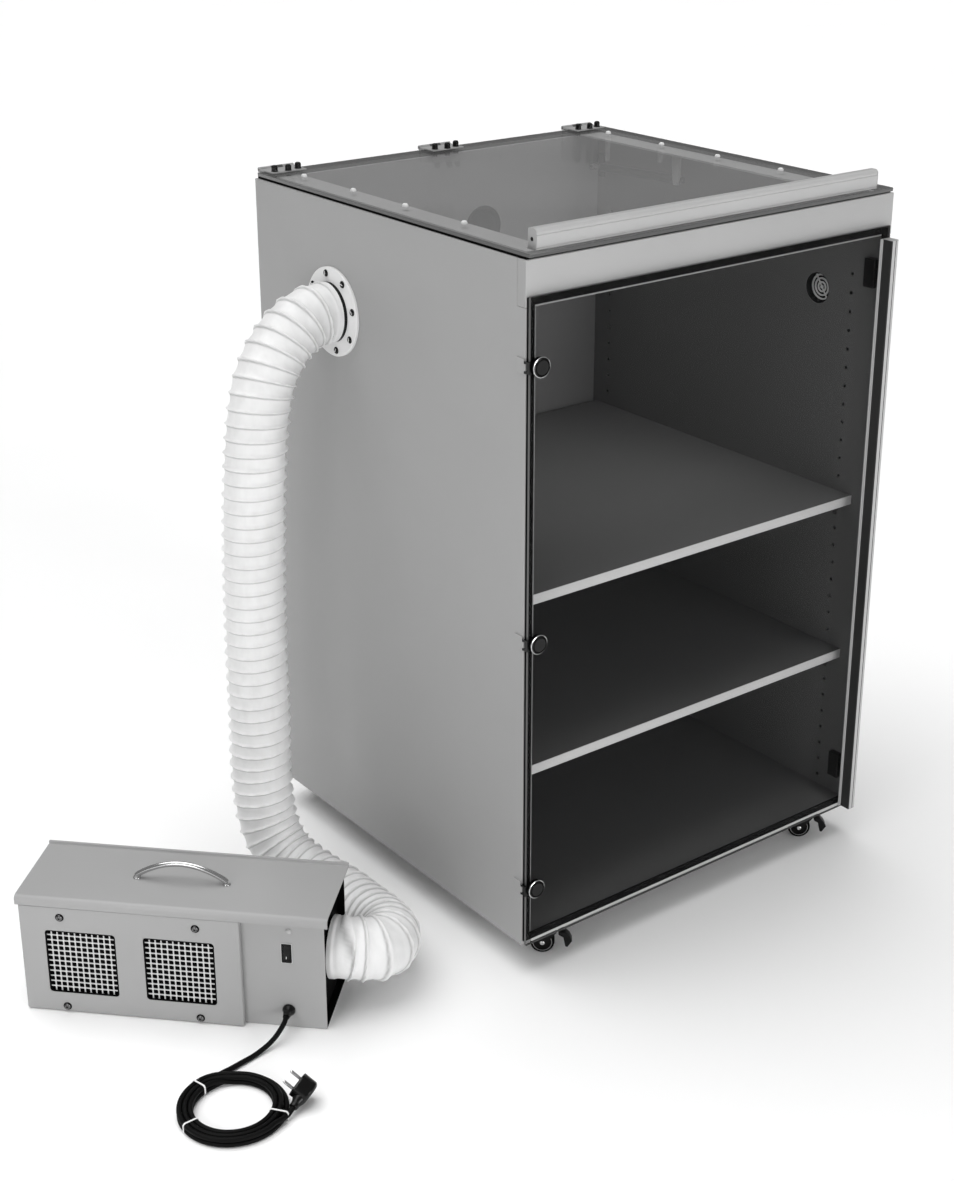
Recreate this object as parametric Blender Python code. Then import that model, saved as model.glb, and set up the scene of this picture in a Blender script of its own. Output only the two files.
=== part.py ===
"""Extraction cabinet for a desktop printer, with its duct and its portable filter unit.

Metres, +Z up.  Everything is laid out in cabinet coordinates: X runs right along the cabinet's
front, Y runs back from its front face and Z rises from the floor.  One empty, parts_origin, moves
the whole assembly so that the middle of its floor plan is the world origin.
"""

import math

import bmesh
import bpy
from mathutils import Matrix, Vector

GAP = 0.0003                      # running gap between pieces that touch

# Cabinet body
WIDTH = 0.750
DEPTH = 0.720
BODY_HEIGHT = 1.107
CASTOR_HEIGHT = 0.055
PANEL = 0.019                     # wall thickness
TOP = CASTOR_HEIGHT + BODY_HEIGHT
RAIL_HEIGHT = 0.067
SHELF = 0.016
SHELF_FRONT = 0.024
HOLE_PITCH = 0.032                # shelf-pin holes
HOLE_START = 0.0925
SUPPORT_RISE = 0.0225             # from a pin hole's centre up to the shelf's underside
UPPER_SHELF_HOLE = 16
LOWER_SHELF_HOLE = 7

# Clear door and lid
DOOR_LEFT, DOOR_RIGHT = 0.0015, 0.737
DOOR_BOTTOM, DOOR_TOP = 0.0585, 1.1125
DOOR_BACK = -0.0045
DOOR_PANE = 0.005
DOOR_AXIS = (-0.0024, -0.0026)
HINGE_HEIGHTS = (0.162, 0.583, 1.011)
LID_LEFT, LID_RIGHT = 0.0015, 0.7405
LID_FRONT, LID_BACK = -0.006, 0.713
LID_BOTTOM = TOP + 0.0045
LID_PANE = 0.006
LID_TOP = LID_BOTTOM + LID_PANE
LID_AXIS_Y, LID_AXIS_Z = DEPTH + 0.0068, LID_TOP + 0.0010
LID_HINGES = (0.0455, 0.371, 0.6965)
SEAL_WIDTH = 0.011
GRIP_WIDE, GRIP_TALL = 0.0175, 0.0225   # aluminium grip section used on door and lid
LID_GRIP_STRETCH = 1.33                 # the lid's grip is taller than the door's

# Duct and its wall flange
DUCT_RADIUS = 0.051
DUCT_Y, DUCT_Z = 0.491, 0.985
FLANGE_RADIUS = 0.0725
COLLAR_OUT = 0.012                # how far the collar stands out of the wall

# Cable port in the back, vent in the right wall
PORT = (0.459, 1.021)
PORT_RADIUS = 0.0355
VENT = (0.133, 0.982)
VENT_RADIUS = 0.030

# Lid stay: rear pivot on the wall, front pivot on the lid strip
STAY_X = 0.7085
STAY_REAR = (0.690, 1.1035)
STAY_FRONT = (0.452, 1.1155)

# Castors
CASTOR_INSET_X, CASTOR_INSET_Y = 0.0785, 0.028
WHEEL_RADIUS = 0.020
WHEEL_WIDTH = 0.016
TRAIL = 0.010
CASTOR_TURN = math.radians(-39.3)  # the fork's heading, from +X

# Filter unit, in its own frame: U along its front, V back from the front, Z up
UNIT_CORNER = (-0.661, 0.398)
UNIT_TURN = math.radians(-45.6)
UNIT_LENGTH, UNIT_DEPTH, UNIT_HEIGHT = 0.472, 0.156, 0.203
SHEET = 0.002
COVER_LENGTH, COVER_DEPTH = 0.3445, 0.0114
COVER_TOP = 0.1875
WINDOW_STARTS = (0.039, 0.1935)
WINDOW_SIZE, WINDOW_BOTTOM = 0.111, 0.035
END_RECESS = 0.012
AXIS_V, AXIS_Z = 0.080, 0.104     # spigot and fan
SWITCH_U, SWITCH_Z = 0.4135, 0.132
GLAND_Z = 0.031
CARRY_U, CARRY_V = 0.236, 0.075
CARRY_SPAN, CARRY_RISE, CARRY_RADIUS = 0.142, 0.026, 0.0048

# Mains lead
LEAD_RADIUS = 0.0039
COIL = (-0.533, -0.009)
COIL_INNER, COIL_OUTER, COIL_TALL = 0.0565, 0.0805, 0.0165
PLUG = (-0.442, -0.0543, 0.0233)
PLUG_LEAN = (math.radians(35.9), math.radians(-16.15), math.radians(22.65))
PLUG_RADIUS = 0.0187

# Middle of the assembly's floor plan, in cabinet coordinates
ORIGIN = (0.0426, 0.3492)

GREY = (0.36, 0.36, 0.36, 1)
PALE = (0.52, 0.52, 0.52, 1)
WHITE = (0.80, 0.80, 0.79, 1)
BLACK = (0.012, 0.012, 0.013, 1)
METAL = (0.62, 0.62, 0.63, 1)

parents = {}


# ---------------------------------------------------------------- materials and helpers

def material(name, colour, roughness=0.5, metallic=0.0, alpha=1.0):
    """The Principled material of that name, made once."""
    found = bpy.data.materials.get(name)
    if found:
        return found
    made = bpy.data.materials.new(name)
    made.use_nodes = True
    shader = made.node_tree.nodes["Principled BSDF"]
    shader.inputs["Base Color"].default_value = colour
    shader.inputs["Roughness"].default_value = roughness
    shader.inputs["Metallic"].default_value = metallic
    shader.inputs["Alpha"].default_value = alpha
    made.diffuse_color = colour
    return made


def paint():
    return material("grey_paint", GREY, 0.45)


def laminate():
    return material("grey_laminate", GREY, 0.45)


def rubber():
    return material("black_rubber", BLACK, 0.8)


def plastic():
    return material("black_plastic", BLACK, 0.4)


def aluminium():
    return material("satin_aluminium", METAL, 0.35, 1.0)


def clear():
    return material("clear_sheet", (0.8, 0.82, 0.82, 1), 0.05, 0.0, 0.3)


def white_plastic():
    return material("white_plastic", WHITE, 0.5)


def empty(name, place=(0, 0, 0), turn=0.0, parent=None):
    """A parent empty at a place, turned about Z."""
    made = bpy.data.objects.new(name, None)
    made.location = place
    made.rotation_euler[2] = turn
    made.parent = parents.get(parent)
    bpy.context.collection.objects.link(made)
    parents[name] = made
    return made


def solid(name, mesh, finish, parent, place=(0, 0, 0), turn=(0, 0, 0)):
    """An object for one piece, under its parent empty."""
    made = bpy.data.objects.new(name, mesh)
    mesh.materials.clear()
    mesh.materials.append(finish)
    made.location = place
    made.rotation_euler = turn
    made.parent = parents.get(parent)
    bpy.context.collection.objects.link(made)
    return made


def guide(made):
    """Turns an object into a cutter or tool that is not a piece."""
    made.hide_render = True
    made.display_type = "WIRE"
    return made


def mesh_from(name, points, faces):
    mesh = bpy.data.meshes.new(name)
    mesh.from_pydata([tuple(p) for p in points], [], faces)
    build = bmesh.new()
    build.from_mesh(mesh)
    bmesh.ops.recalc_face_normals(build, faces=build.faces)
    build.to_mesh(mesh)
    build.free()
    return mesh


def box_mesh(name, low, high):
    """A closed box about its own centre, and that centre."""
    size = Vector(high) - Vector(low)
    build = bmesh.new()
    bmesh.ops.create_cube(build, size=1.0, matrix=Matrix.Diagonal((*size, 1)))
    mesh = bpy.data.meshes.new(name)
    build.to_mesh(mesh)
    build.free()
    return mesh, (Vector(high) + Vector(low)) / 2


def box(name, low, high, finish, parent="cabinet", bevel=0.0):
    mesh, centre = box_mesh(name, low, high)
    made = solid(name, mesh, finish, parent, centre)
    if bevel:
        soften(made, bevel)
    return made


def soften(made, width, segments=1):
    bevel = made.modifiers.new("edges", "BEVEL")
    bevel.width = width
    bevel.segments = segments
    bevel.limit_method = "ANGLE"


def prism_mesh(name, outline, axis, start, end):
    """A closed outline of pairs, run along one axis from start to end."""
    order = {"X": lambda a, b, c: (c, a, b), "Y": lambda a, b, c: (a, c, b), "Z": lambda a, b, c: (a, b, c)}
    place = order[axis]
    count = len(outline)
    points = [place(a, b, c) for c in (start, end) for a, b in outline]
    faces = [tuple(range(count)), tuple(range(2 * count - 1, count - 1, -1))]
    faces += [(i, (i + 1) % count, count + (i + 1) % count, count + i) for i in range(count)]
    return mesh_from(name, points, faces)


def prism(name, outline, axis, start, end, finish, parent="cabinet", place=(0, 0, 0), turn=(0, 0, 0)):
    return solid(name, prism_mesh(name, outline, axis, start, end), finish, parent, place, turn)


def turned_mesh(name, profile, steps=24):
    """A profile of (radius, height) pairs turned about Z.  A radius of 0 closes on the axis."""
    points, rings = [], []
    for radius, height in profile:
        if radius == 0:
            rings.append([len(points)] * steps)
            points.append((0, 0, height))
            continue
        rings.append([len(points) + i for i in range(steps)])
        for i in range(steps):
            angle = 2 * math.pi * i / steps
            points.append((radius * math.cos(angle), radius * math.sin(angle), height))
    faces = []
    closed = all(radius > 0 for radius, _ in profile)
    pairs = list(zip(rings, rings[1:])) + ([(rings[-1], rings[0])] if closed else [])
    for low, high in pairs:
        for i in range(steps):
            j = (i + 1) % steps
            corners = [low[i], low[j], high[j], high[i]]
            corners = [c for k, c in enumerate(corners) if c != corners[k - 1]]
            if len(corners) > 2:
                faces.append(corners)
    mesh = mesh_from(name, points, faces)
    mesh.shade_smooth()
    mesh.set_sharp_from_angle(angle=math.radians(35))
    return mesh


def turned(name, profile, finish, parent="cabinet", place=(0, 0, 0), turn=(0, 0, 0), steps=24):
    return solid(name, turned_mesh(name, profile, steps), finish, parent, place, turn)


def rod_cutter(name, radius, start, end, parent="cabinet", steps=24):
    """A hidden cylinder between two points, for cutting a round hole."""
    start, end = Vector(start), Vector(end)
    length = (end - start).length
    mesh = turned_mesh(name, [(0, 0), (radius, 0), (radius, length), (0, length)], steps)
    made = guide(solid(name, mesh, plastic(), parent, start))
    made.rotation_mode = "QUATERNION"
    made.rotation_quaternion = (end - start).to_track_quat("Z", "Y")
    return made


def box_cutter(name, low, high, parent="cabinet"):
    return guide(box(name, low, high, plastic(), parent))


def combine(made, tool, operation="DIFFERENCE"):
    step = made.modifiers.new(tool.name, "BOOLEAN")
    step.operation = operation
    step.object = tool
    return made


def arc(centre, radius, start, end, count):
    """Points on an arc, with angles in degrees."""
    out = []
    for i in range(count + 1):
        angle = math.radians(start + (end - start) * i / count)
        out.append((centre[0] + radius * math.cos(angle), centre[1] + radius * math.sin(angle)))
    return out


def frame_mesh(name, outer, inner, axis, start, end):
    """A rectangular frame: outer and inner are (low, high) corner pairs in the frame's plane."""
    def corners(rect):
        (a0, b0), (a1, b1) = rect
        return [(a0, b0), (a1, b0), (a1, b1), (a0, b1)]
    order = {"X": lambda a, b, c: (c, a, b), "Y": lambda a, b, c: (a, c, b), "Z": lambda a, b, c: (a, b, c)}
    place = order[axis]
    points = [place(a, b, c) for c in (start, end) for rect in (outer, inner) for a, b in corners(rect)]
    faces = []
    for i in range(4):
        j = (i + 1) % 4
        faces.append((i, j, 4 + j, 4 + i))
        faces.append((8 + i, 8 + j, 12 + j, 12 + i))
        faces.append((i, j, 8 + j, 8 + i))
        faces.append((4 + i, 4 + j, 12 + j, 12 + i))
    return mesh_from(name, points, faces)


def smooth_route(points, spacing):
    """Evenly spaced points along a smooth curve through the given ones."""
    points = [Vector(p) for p in points]
    ends = [2 * points[0] - points[1]] + points + [2 * points[-1] - points[-2]]
    fine = []
    for a, b, c, d in zip(ends, ends[1:], ends[2:], ends[3:]):
        for i in range(24):
            t = i / 24
            fine.append(0.5 * ((2 * b) + (c - a) * t + (2 * a - 5 * b + 4 * c - d) * t ** 2
                               + (3 * b - a - 3 * c + d) * t ** 3))
    fine.append(points[-1])
    total = sum((q - p).length for p, q in zip(fine, fine[1:]))
    count = max(2, round(total / spacing))
    out, walked, target = [fine[0]], 0.0, total / count
    for p, q in zip(fine, fine[1:]):
        step = (q - p).length
        while walked + step >= target and len(out) < count:
            out.append(p.lerp(q, (target - walked) / step))
            target += total / count
        walked += step
    return out + [fine[-1]]


def tube(name, points, radius, finish, parent, resolution=3):
    """A round tube along points, as a curve object with filled caps."""
    curve = bpy.data.curves.new(name, "CURVE")
    curve.dimensions = "3D"
    curve.bevel_depth = radius
    curve.bevel_resolution = resolution
    curve.use_fill_caps = True
    spline = curve.splines.new("POLY")
    spline.points.add(len(points) - 1)
    for target, point in zip(spline.points, points):
        target.co = (*point, 1)
    curve.materials.append(finish)
    made = bpy.data.objects.new(name, curve)
    made.parent = parents.get(parent)
    bpy.context.collection.objects.link(made)
    return made


# ---------------------------------------------------------------- cabinet body

def side_panel(name, left):
    """A side wall, notched at its top front corner for the rail."""
    notch_y, notch_z = PANEL + GAP, TOP - RAIL_HEIGHT - GAP
    outline = [(0, CASTOR_HEIGHT), (DEPTH, CASTOR_HEIGHT), (DEPTH, TOP), (notch_y, TOP),
               (notch_y, notch_z), (0, notch_z)]
    return prism(name, outline, "X", left, left + PANEL, laminate())


def shell():
    left = side_panel("left_panel", 0)
    right = side_panel("right_panel", WIDTH - PANEL)
    inner_left, inner_right = PANEL + GAP, WIDTH - PANEL - GAP
    back = box("back_panel", (inner_left, DEPTH - PANEL, CASTOR_HEIGHT), (inner_right, DEPTH, TOP),
               laminate())
    box("base_panel", (inner_left, 0, CASTOR_HEIGHT),
        (inner_right, DEPTH - PANEL - GAP, CASTOR_HEIGHT + 0.018), laminate())
    box("front_rail", (0, 0, TOP - RAIL_HEIGHT), (WIDTH, PANEL, TOP), material("pale_laminate", PALE, 0.45))
    combine(left, rod_cutter("duct_hole", 0.0495, (-0.05, DUCT_Y, DUCT_Z), (0.05, DUCT_Y, DUCT_Z)))
    combine(right, rod_cutter("vent_hole", 0.0265, (WIDTH - 0.05, *VENT), (WIDTH + 0.05, *VENT)))
    combine(back, rod_cutter("port_hole", PORT_RADIUS, (PORT[0], DEPTH - 0.05, PORT[1]),
                             (PORT[0], DEPTH + 0.05, PORT[1])))


def shelf_underside(hole):
    return HOLE_START + HOLE_PITCH * hole + SUPPORT_RISE


def shelves():
    for name, hole in (("upper_shelf", UPPER_SHELF_HOLE), ("lower_shelf", LOWER_SHELF_HOLE)):
        low = shelf_underside(hole)
        box(name, (PANEL + 0.0012, SHELF_FRONT, low),
            (WIDTH - PANEL - 0.0012, DEPTH - PANEL - 0.010, low + SHELF), laminate())


def seals():
    inset = 0.004
    within = inset + SEAL_WIDTH
    lid_outer = ((inset, inset), (WIDTH - inset, DEPTH - inset))
    lid_inner = ((within, within), (WIDTH - within, DEPTH - within))
    mesh = frame_mesh("lid_seal", lid_outer, lid_inner, "Z", TOP + GAP, LID_BOTTOM - GAP)
    solid("lid_seal", mesh, rubber(), "cabinet")
    low, high = (0.002, 0.0640), (0.7385, 1.1100)
    door_inner = ((low[0] + SEAL_WIDTH, low[1] + SEAL_WIDTH), (high[0] - SEAL_WIDTH, high[1] - SEAL_WIDTH))
    mesh = frame_mesh("door_seal", (low, high), door_inner, "Y", DOOR_BACK + GAP, -GAP)
    solid("door_seal", mesh, rubber(), "cabinet")


def duct_flange():
    """White flange on the wall with a collar through it, about an axis along -X."""
    profile = [(0.0440, -PANEL), (0.0480, -PANEL), (0.0480, GAP), (FLANGE_RADIUS, GAP),
               (FLANGE_RADIUS, 0.0053), (0.0480, 0.0060), (0.0480, COLLAR_OUT), (0.0440, COLLAR_OUT)]
    turned("duct_flange", profile, white_plastic(), place=(0, DUCT_Y, DUCT_Z), turn=(0, -math.pi / 2, 0),
           steps=32)


def side_vent():
    """Round vent: three concentric rings joined by one slanted bar."""
    place, turn = (WIDTH - PANEL, *VENT), (0, -math.pi / 2, 0)
    outer = [(0.0235, -0.006), (0.0260, -0.006), (0.0260, GAP), (VENT_RADIUS, GAP), (VENT_RADIUS, 0.003),
             (0.0235, 0.005)]
    made = turned("side_vent", outer, paint(), place=place, turn=turn)
    for number, (inside, outside, proud) in enumerate(((0.0160, 0.0200, 0.0055), (0.0090, 0.0125, 0.0065))):
        ring = [(inside, 0.001), (outside, 0.001), (outside, proud), (inside, proud)]
        combine(made, guide(turned(f"vent_ring_{number}", ring, paint(), place=place, turn=turn)), "UNION")
    hub = [(0, 0.0005), (0.0052, 0.0005), (0.0052, 0.0070), (0, 0.0070)]
    combine(made, guide(turned("vent_hub", hub, paint(), place=place, turn=turn)), "UNION")
    bar = guide(box("vent_bar", (-0.0045, -0.0245, -0.0018), (-0.0015, 0.0245, 0.0018), paint()))
    bar.location = (WIDTH - PANEL - 0.003, *VENT)
    bar.rotation_euler = (math.radians(35), 0, 0)
    combine(made, bar, "UNION")


def cable_port_cover():
    """Push-in cover over the cable port, with a notch at its foot for the cables."""
    profile = [(0, -0.010), (PORT_RADIUS - 0.0008, -0.010), (PORT_RADIUS - 0.0008, GAP), (0.039, GAP),
               (0.038, 0.0035), (0, 0.0035)]
    cover = turned("cable_port_cover", profile, plastic(), place=(PORT[0], DEPTH - PANEL, PORT[1]),
                   turn=(math.pi / 2, 0, 0), steps=28)
    combine(cover, box_cutter("cable_notch", (PORT[0] - 0.012, DEPTH - 0.06, PORT[1] - 0.05),
                              (PORT[0] + 0.012, DEPTH + 0.05, PORT[1] - 0.012)))


def catches():
    """Two catches inside the right wall, each with a recess in its front for the striker."""
    for name, middle in (("catch_upper", 1.032), ("catch_lower", 0.133)):
        right = WIDTH - PANEL - GAP
        catch = box(name, (right - 0.011, 0.003, middle - 0.024), (right, 0.026, middle + 0.024), plastic(),
                    bevel=0.0015)
        combine(catch, box_cutter(name + "_recess", (right - 0.0085, -0.01, middle - 0.009),
                                  (right - 0.0030, 0.014, middle + 0.009)))


def cabinet():
    shell()
    shelves()
    seals()
    duct_flange()
    side_vent()
    cable_port_cover()
    catches()


# ---------------------------------------------------------------- grip section, door and lid

def grip_outline():
    """The grip's section: 0 at its foot on the pane, widening inwards as a small flange."""
    nose, round_in, foot = 0.0060, 0.0030, 0.0020
    outline = [(-0.004, 0), (GRIP_WIDE, 0)]
    outline += arc((GRIP_WIDE - nose, GRIP_TALL - nose), nose, 0, 90, 4)
    outline += arc((round_in, GRIP_TALL - round_in), round_in, 90, 180, 2)
    return outline + [(0, foot), (-0.004, foot)]


def hinge_knuckles(name, radius, pin, tops, finish, parent, place, turn):
    """Two knuckles on a line through place, as one guide each, joined by the caller."""
    parts = []
    for number, (low, high) in enumerate(tops):
        ring = [(pin, low), (radius, low), (radius, high), (pin, high)]
        parts.append(guide(turned(f"{name}_knuckle_{number}", ring, finish, parent, place, turn, steps=10)))
    return parts


def door():
    empty("door", (*DOOR_AXIS, 0), parent="parts_origin")
    x0, y0 = DOOR_AXIS
    pane_front = DOOR_BACK - DOOR_PANE
    pane = box("door_pane", (DOOR_LEFT - x0, pane_front - y0, DOOR_BOTTOM),
               (DOOR_RIGHT - x0, DOOR_BACK - y0, DOOR_TOP), clear(), "door", bevel=0.0005)
    for number, height in enumerate(HINGE_HEIGHTS):
        combine(pane, rod_cutter(f"pane_hole_{number}", 0.0043, (0.0158 - x0, -0.03, height),
                                 (0.0158 - x0, 0.03, height), "door", 12))
    # The grip's foot lies on the pane's front, its nose points forward, its flange at the hinges.
    left = 0.7185 - x0
    outline = [(left + a, pane_front - GAP - y0 - b) for a, b in grip_outline()]
    prism("door_handle", outline, "Z", 0.0630, 1.0930, aluminium(), "door")
    for number, height in enumerate(HINGE_HEIGHTS):
        door_hinge(number + 1, height)


def door_hinge(number, height):
    """Cap on the pane with a strap round its edge to two knuckles, and a base with the pin."""
    x0, y0 = DOOR_AXIS
    front = DOOR_BACK - DOOR_PANE - GAP
    cap_profile = [(0, -0.0045), (0.0040, -0.0045), (0.0040, 0), (0.0142, 0), (0.0142, 0.0085),
                   (0.0132, 0.0100), (0, 0.0100)]
    cap = turned(f"door_hinge_cap_{number}", cap_profile, plastic(), "door",
                 (0.0158 - x0, front - y0, height), (math.pi / 2, 0, 0), steps=24)
    strap = guide(box(f"door_strap_{number}", (-0.0011, front - y0 - 0.0030, height - 0.0090),
                      (0.0120, front - y0 - 0.0002, height + 0.0090), plastic(), "door"))
    side = guide(box(f"door_strap_side_{number}", (-0.0011, front - y0 - 0.0015, height - 0.0090),
                     (0.0011, 0.0, height + 0.0090), plastic(), "door"))
    middle = guide(box(f"door_strap_gap_{number}", (-0.01, -0.0045, height - 0.0053),
                       (0.0036, 0.01, height + 0.0053), plastic(), "door"))
    combine(cap, strap, "UNION")
    combine(cap, side, "UNION")
    ends = ((-0.0090, -0.0053), (0.0053, 0.0090))
    for knuckle in hinge_knuckles(f"door_hinge_{number}", 0.0020, 0.0013, ends, plastic(), "door",
                                  (0, 0, height), (0, 0, 0)):
        combine(cap, knuckle, "UNION")
    combine(cap, middle)
    space = [(0, -0.02), (0.0013, -0.02), (0.0013, 0.02), (0, 0.02)]
    core = guide(turned(f"door_pin_space_{number}", space, plastic(), "door", (0, 0, height), steps=10))
    combine(cap, core)
    base = box(f"door_hinge_base_{number}", (-0.0020, 0.0010, height - 0.0110),
               (-GAP, 0.0180, height + 0.0110), aluminium())
    barrel = turned_mesh("barrel", [(0, -0.0090), (0.0010, -0.0090), (0.0010, -0.0050), (0.0020, -0.0050),
                                    (0.0020, 0.0050), (0.0010, 0.0050), (0.0010, 0.0090), (0, 0.0090)], 10)
    tool = guide(solid(f"door_barrel_{number}", barrel, aluminium(), "cabinet", (x0, y0, height)))
    tongue = guide(box(f"door_tongue_{number}", (x0 - 0.0005, y0, height - 0.0050),
                       (-0.0012, 0.0020, height + 0.0050), aluminium()))
    combine(base, tongue, "UNION")
    combine(base, tool, "UNION")


def lid():
    empty("lid", (0, LID_AXIS_Y, LID_AXIS_Z), parent="parts_origin")
    y0, z0 = LID_AXIS_Y, LID_AXIS_Z
    box("lid_pane", (LID_LEFT, LID_FRONT - y0, LID_BOTTOM - z0), (LID_RIGHT, LID_BACK - y0, LID_TOP - z0),
        clear(), "lid", bevel=0.0006)
    outline = [(0.0215 - y0 - a, LID_TOP + GAP - z0 + b * LID_GRIP_STRETCH) for a, b in grip_outline()]
    prism("lid_handle", outline, "X", 0.020, 0.7135, aluminium(), "lid")
    strip_low, strip_high = LID_BOTTOM - GAP - 0.003 - z0, LID_BOTTOM - GAP - z0
    box("lid_strip_left", (0.024, 0.028 - y0, strip_low), (0.066, 0.700 - y0, strip_high), paint(), "lid")
    right = box("lid_strip_right", (0.676, 0.028 - y0, strip_low), (0.718, 0.700 - y0, strip_high),
                paint(), "lid")
    # The stay's lug hangs from the right strip and ends in a round eye with the stay's stud.
    lug_y, lug_z = STAY_FRONT[0] - y0, STAY_FRONT[1] - z0
    lug_x = STAY_X - 0.0128
    lug = [(lug_y - 0.012, strip_high - 0.001), (lug_y - 0.008, lug_z), (lug_y - 0.005, lug_z - 0.008),
           (lug_y + 0.005, lug_z - 0.008), (lug_y + 0.008, lug_z), (lug_y + 0.012, strip_high - 0.001)]
    tool = guide(prism("stay_lug", lug, "X", lug_x, lug_x + 0.003, paint(), "lid"))
    combine(right, tool, "UNION")
    for number, middle in enumerate(LID_HINGES):
        lid_hinge(number + 1, middle)


def lid_hinge(number, middle):
    """Butt hinge: a leaf bolted down on the lid and a leaf on the cabinet's back."""
    y0, z0 = LID_AXIS_Y, LID_AXIS_Z
    half, thick, knuckle = 0.033, 0.0018, 0.0042
    centre = (middle, 0, 0)
    leaf = box(f"lid_hinge_leaf_{number}", (middle - half, 0.684 - y0, LID_TOP + GAP - z0),
               (middle + half, -0.0012, LID_TOP + GAP + thick - z0), aluminium(), "lid")
    ends = ((-half, -0.0113), (0.0113, half))
    along = (0, math.pi / 2, 0)
    rings = hinge_knuckles(f"lid_hinge_{number}", knuckle, 0.0021, ends, aluminium(), "lid", centre, along)
    for ring in rings:
        combine(leaf, ring, "UNION")
    combine(leaf, guide(box(f"leaf_gap_{number}", (middle - 0.0113, -0.0072, -0.01),
                            (middle + 0.0113, 0.01, 0.01), aluminium(), "lid")))
    combine(leaf, rod_cutter(f"leaf_pin_space_{number}", 0.0021, (middle - 0.05, 0, 0),
                             (middle + 0.05, 0, 0), "lid", 10))
    base = box(f"lid_hinge_base_{number}", (middle - half, DEPTH + GAP, 1.116),
               (middle + half, DEPTH + GAP + thick, 1.160), aluminium())
    neck = guide(box(f"base_neck_{number}", (middle - 0.0110, DEPTH + GAP, 1.150),
                     (middle + 0.0110, DEPTH + GAP + 0.0042, LID_AXIS_Z), aluminium()))
    barrel = turned_mesh("barrel", [(0, -half), (0.0018, -half), (0.0018, -0.0110), (knuckle, -0.0110),
                                    (knuckle, 0.0110), (0.0018, 0.0110), (0.0018, half), (0, half)], 10)
    tool = guide(solid(f"base_barrel_{number}", barrel, aluminium(), "cabinet",
                       (middle, LID_AXIS_Y, LID_AXIS_Z), along))
    combine(base, neck, "UNION")
    combine(base, tool, "UNION")


# ---------------------------------------------------------------- lid stay

def lid_stay():
    """Gas stay between a bracket on the right wall and the lug on the lid."""
    rear, front = Vector((0, *STAY_REAR)), Vector((0, *STAY_FRONT))
    along = (front - rear).normalized()
    length = (front - rear).length
    steel = material("dark_steel", (0.05, 0.05, 0.055, 1), 0.3, 0.8)
    wall = WIDTH - PANEL - GAP
    bracket = box("stay_bracket", (wall - 0.002, STAY_REAR[0] - 0.008, STAY_REAR[1] - 0.022),
                  (wall, STAY_REAR[0] + 0.009, STAY_REAR[1] + 0.022), steel)
    stud = turned_mesh("stud", [(0, 0), (0.0028, 0), (0.0028, 0.0265), (0, 0.0265)], 10)
    tool = guide(solid("stay_stud", stud, steel, "cabinet", (wall - 0.001, *STAY_REAR), (0, -math.pi / 2, 0)))
    combine(bracket, tool, "UNION")

    turn = (along.to_track_quat("Z", "X")).to_euler()
    empty("stay", (STAY_X, *STAY_REAR), parent="parts_origin")
    # The rod has an eye round the stud and a piston that slides inside the cylinder.
    eye = [(0.0032, -0.0045), (0.0070, -0.0045), (0.0070, 0.0045), (0.0032, 0.0045)]
    rod = turned("stay_rod", eye, steel, "stay", turn=(0, math.pi / 2, 0), steps=12)
    shaft = turned_mesh("shaft", [(0, 0.0055), (0.0035, 0.0055), (0.0035, 0.1340), (0.0058, 0.1340),
                                  (0.0058, 0.1410), (0, 0.1410)], 12)
    combine(rod, guide(solid("stay_shaft", shaft, steel, "stay", (0, 0, 0), turn)), "UNION")
    sleeve = [(0, 0.2150), (0.0062, 0.2150), (0.0062, 0.032), (0.0038, 0.032), (0.0038, 0.026),
              (0.0080, 0.026), (0.0080, length - 0.016), (0.0040, length - 0.012), (0.0040, length - 0.006),
              (0, length - 0.006)]
    cylinder = turned("stay_cylinder", sleeve, steel, "stay", turn=turn, steps=16)
    tip = [(0, -0.0045), (0.0065, -0.0045), (0.0065, 0.0045), (0, 0.0045)]
    end = guide(turned("stay_tip", tip, steel, "stay", tuple(along * length), (0, math.pi / 2, 0), 12))
    combine(cylinder, end, "UNION")


# ---------------------------------------------------------------- castors

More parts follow.
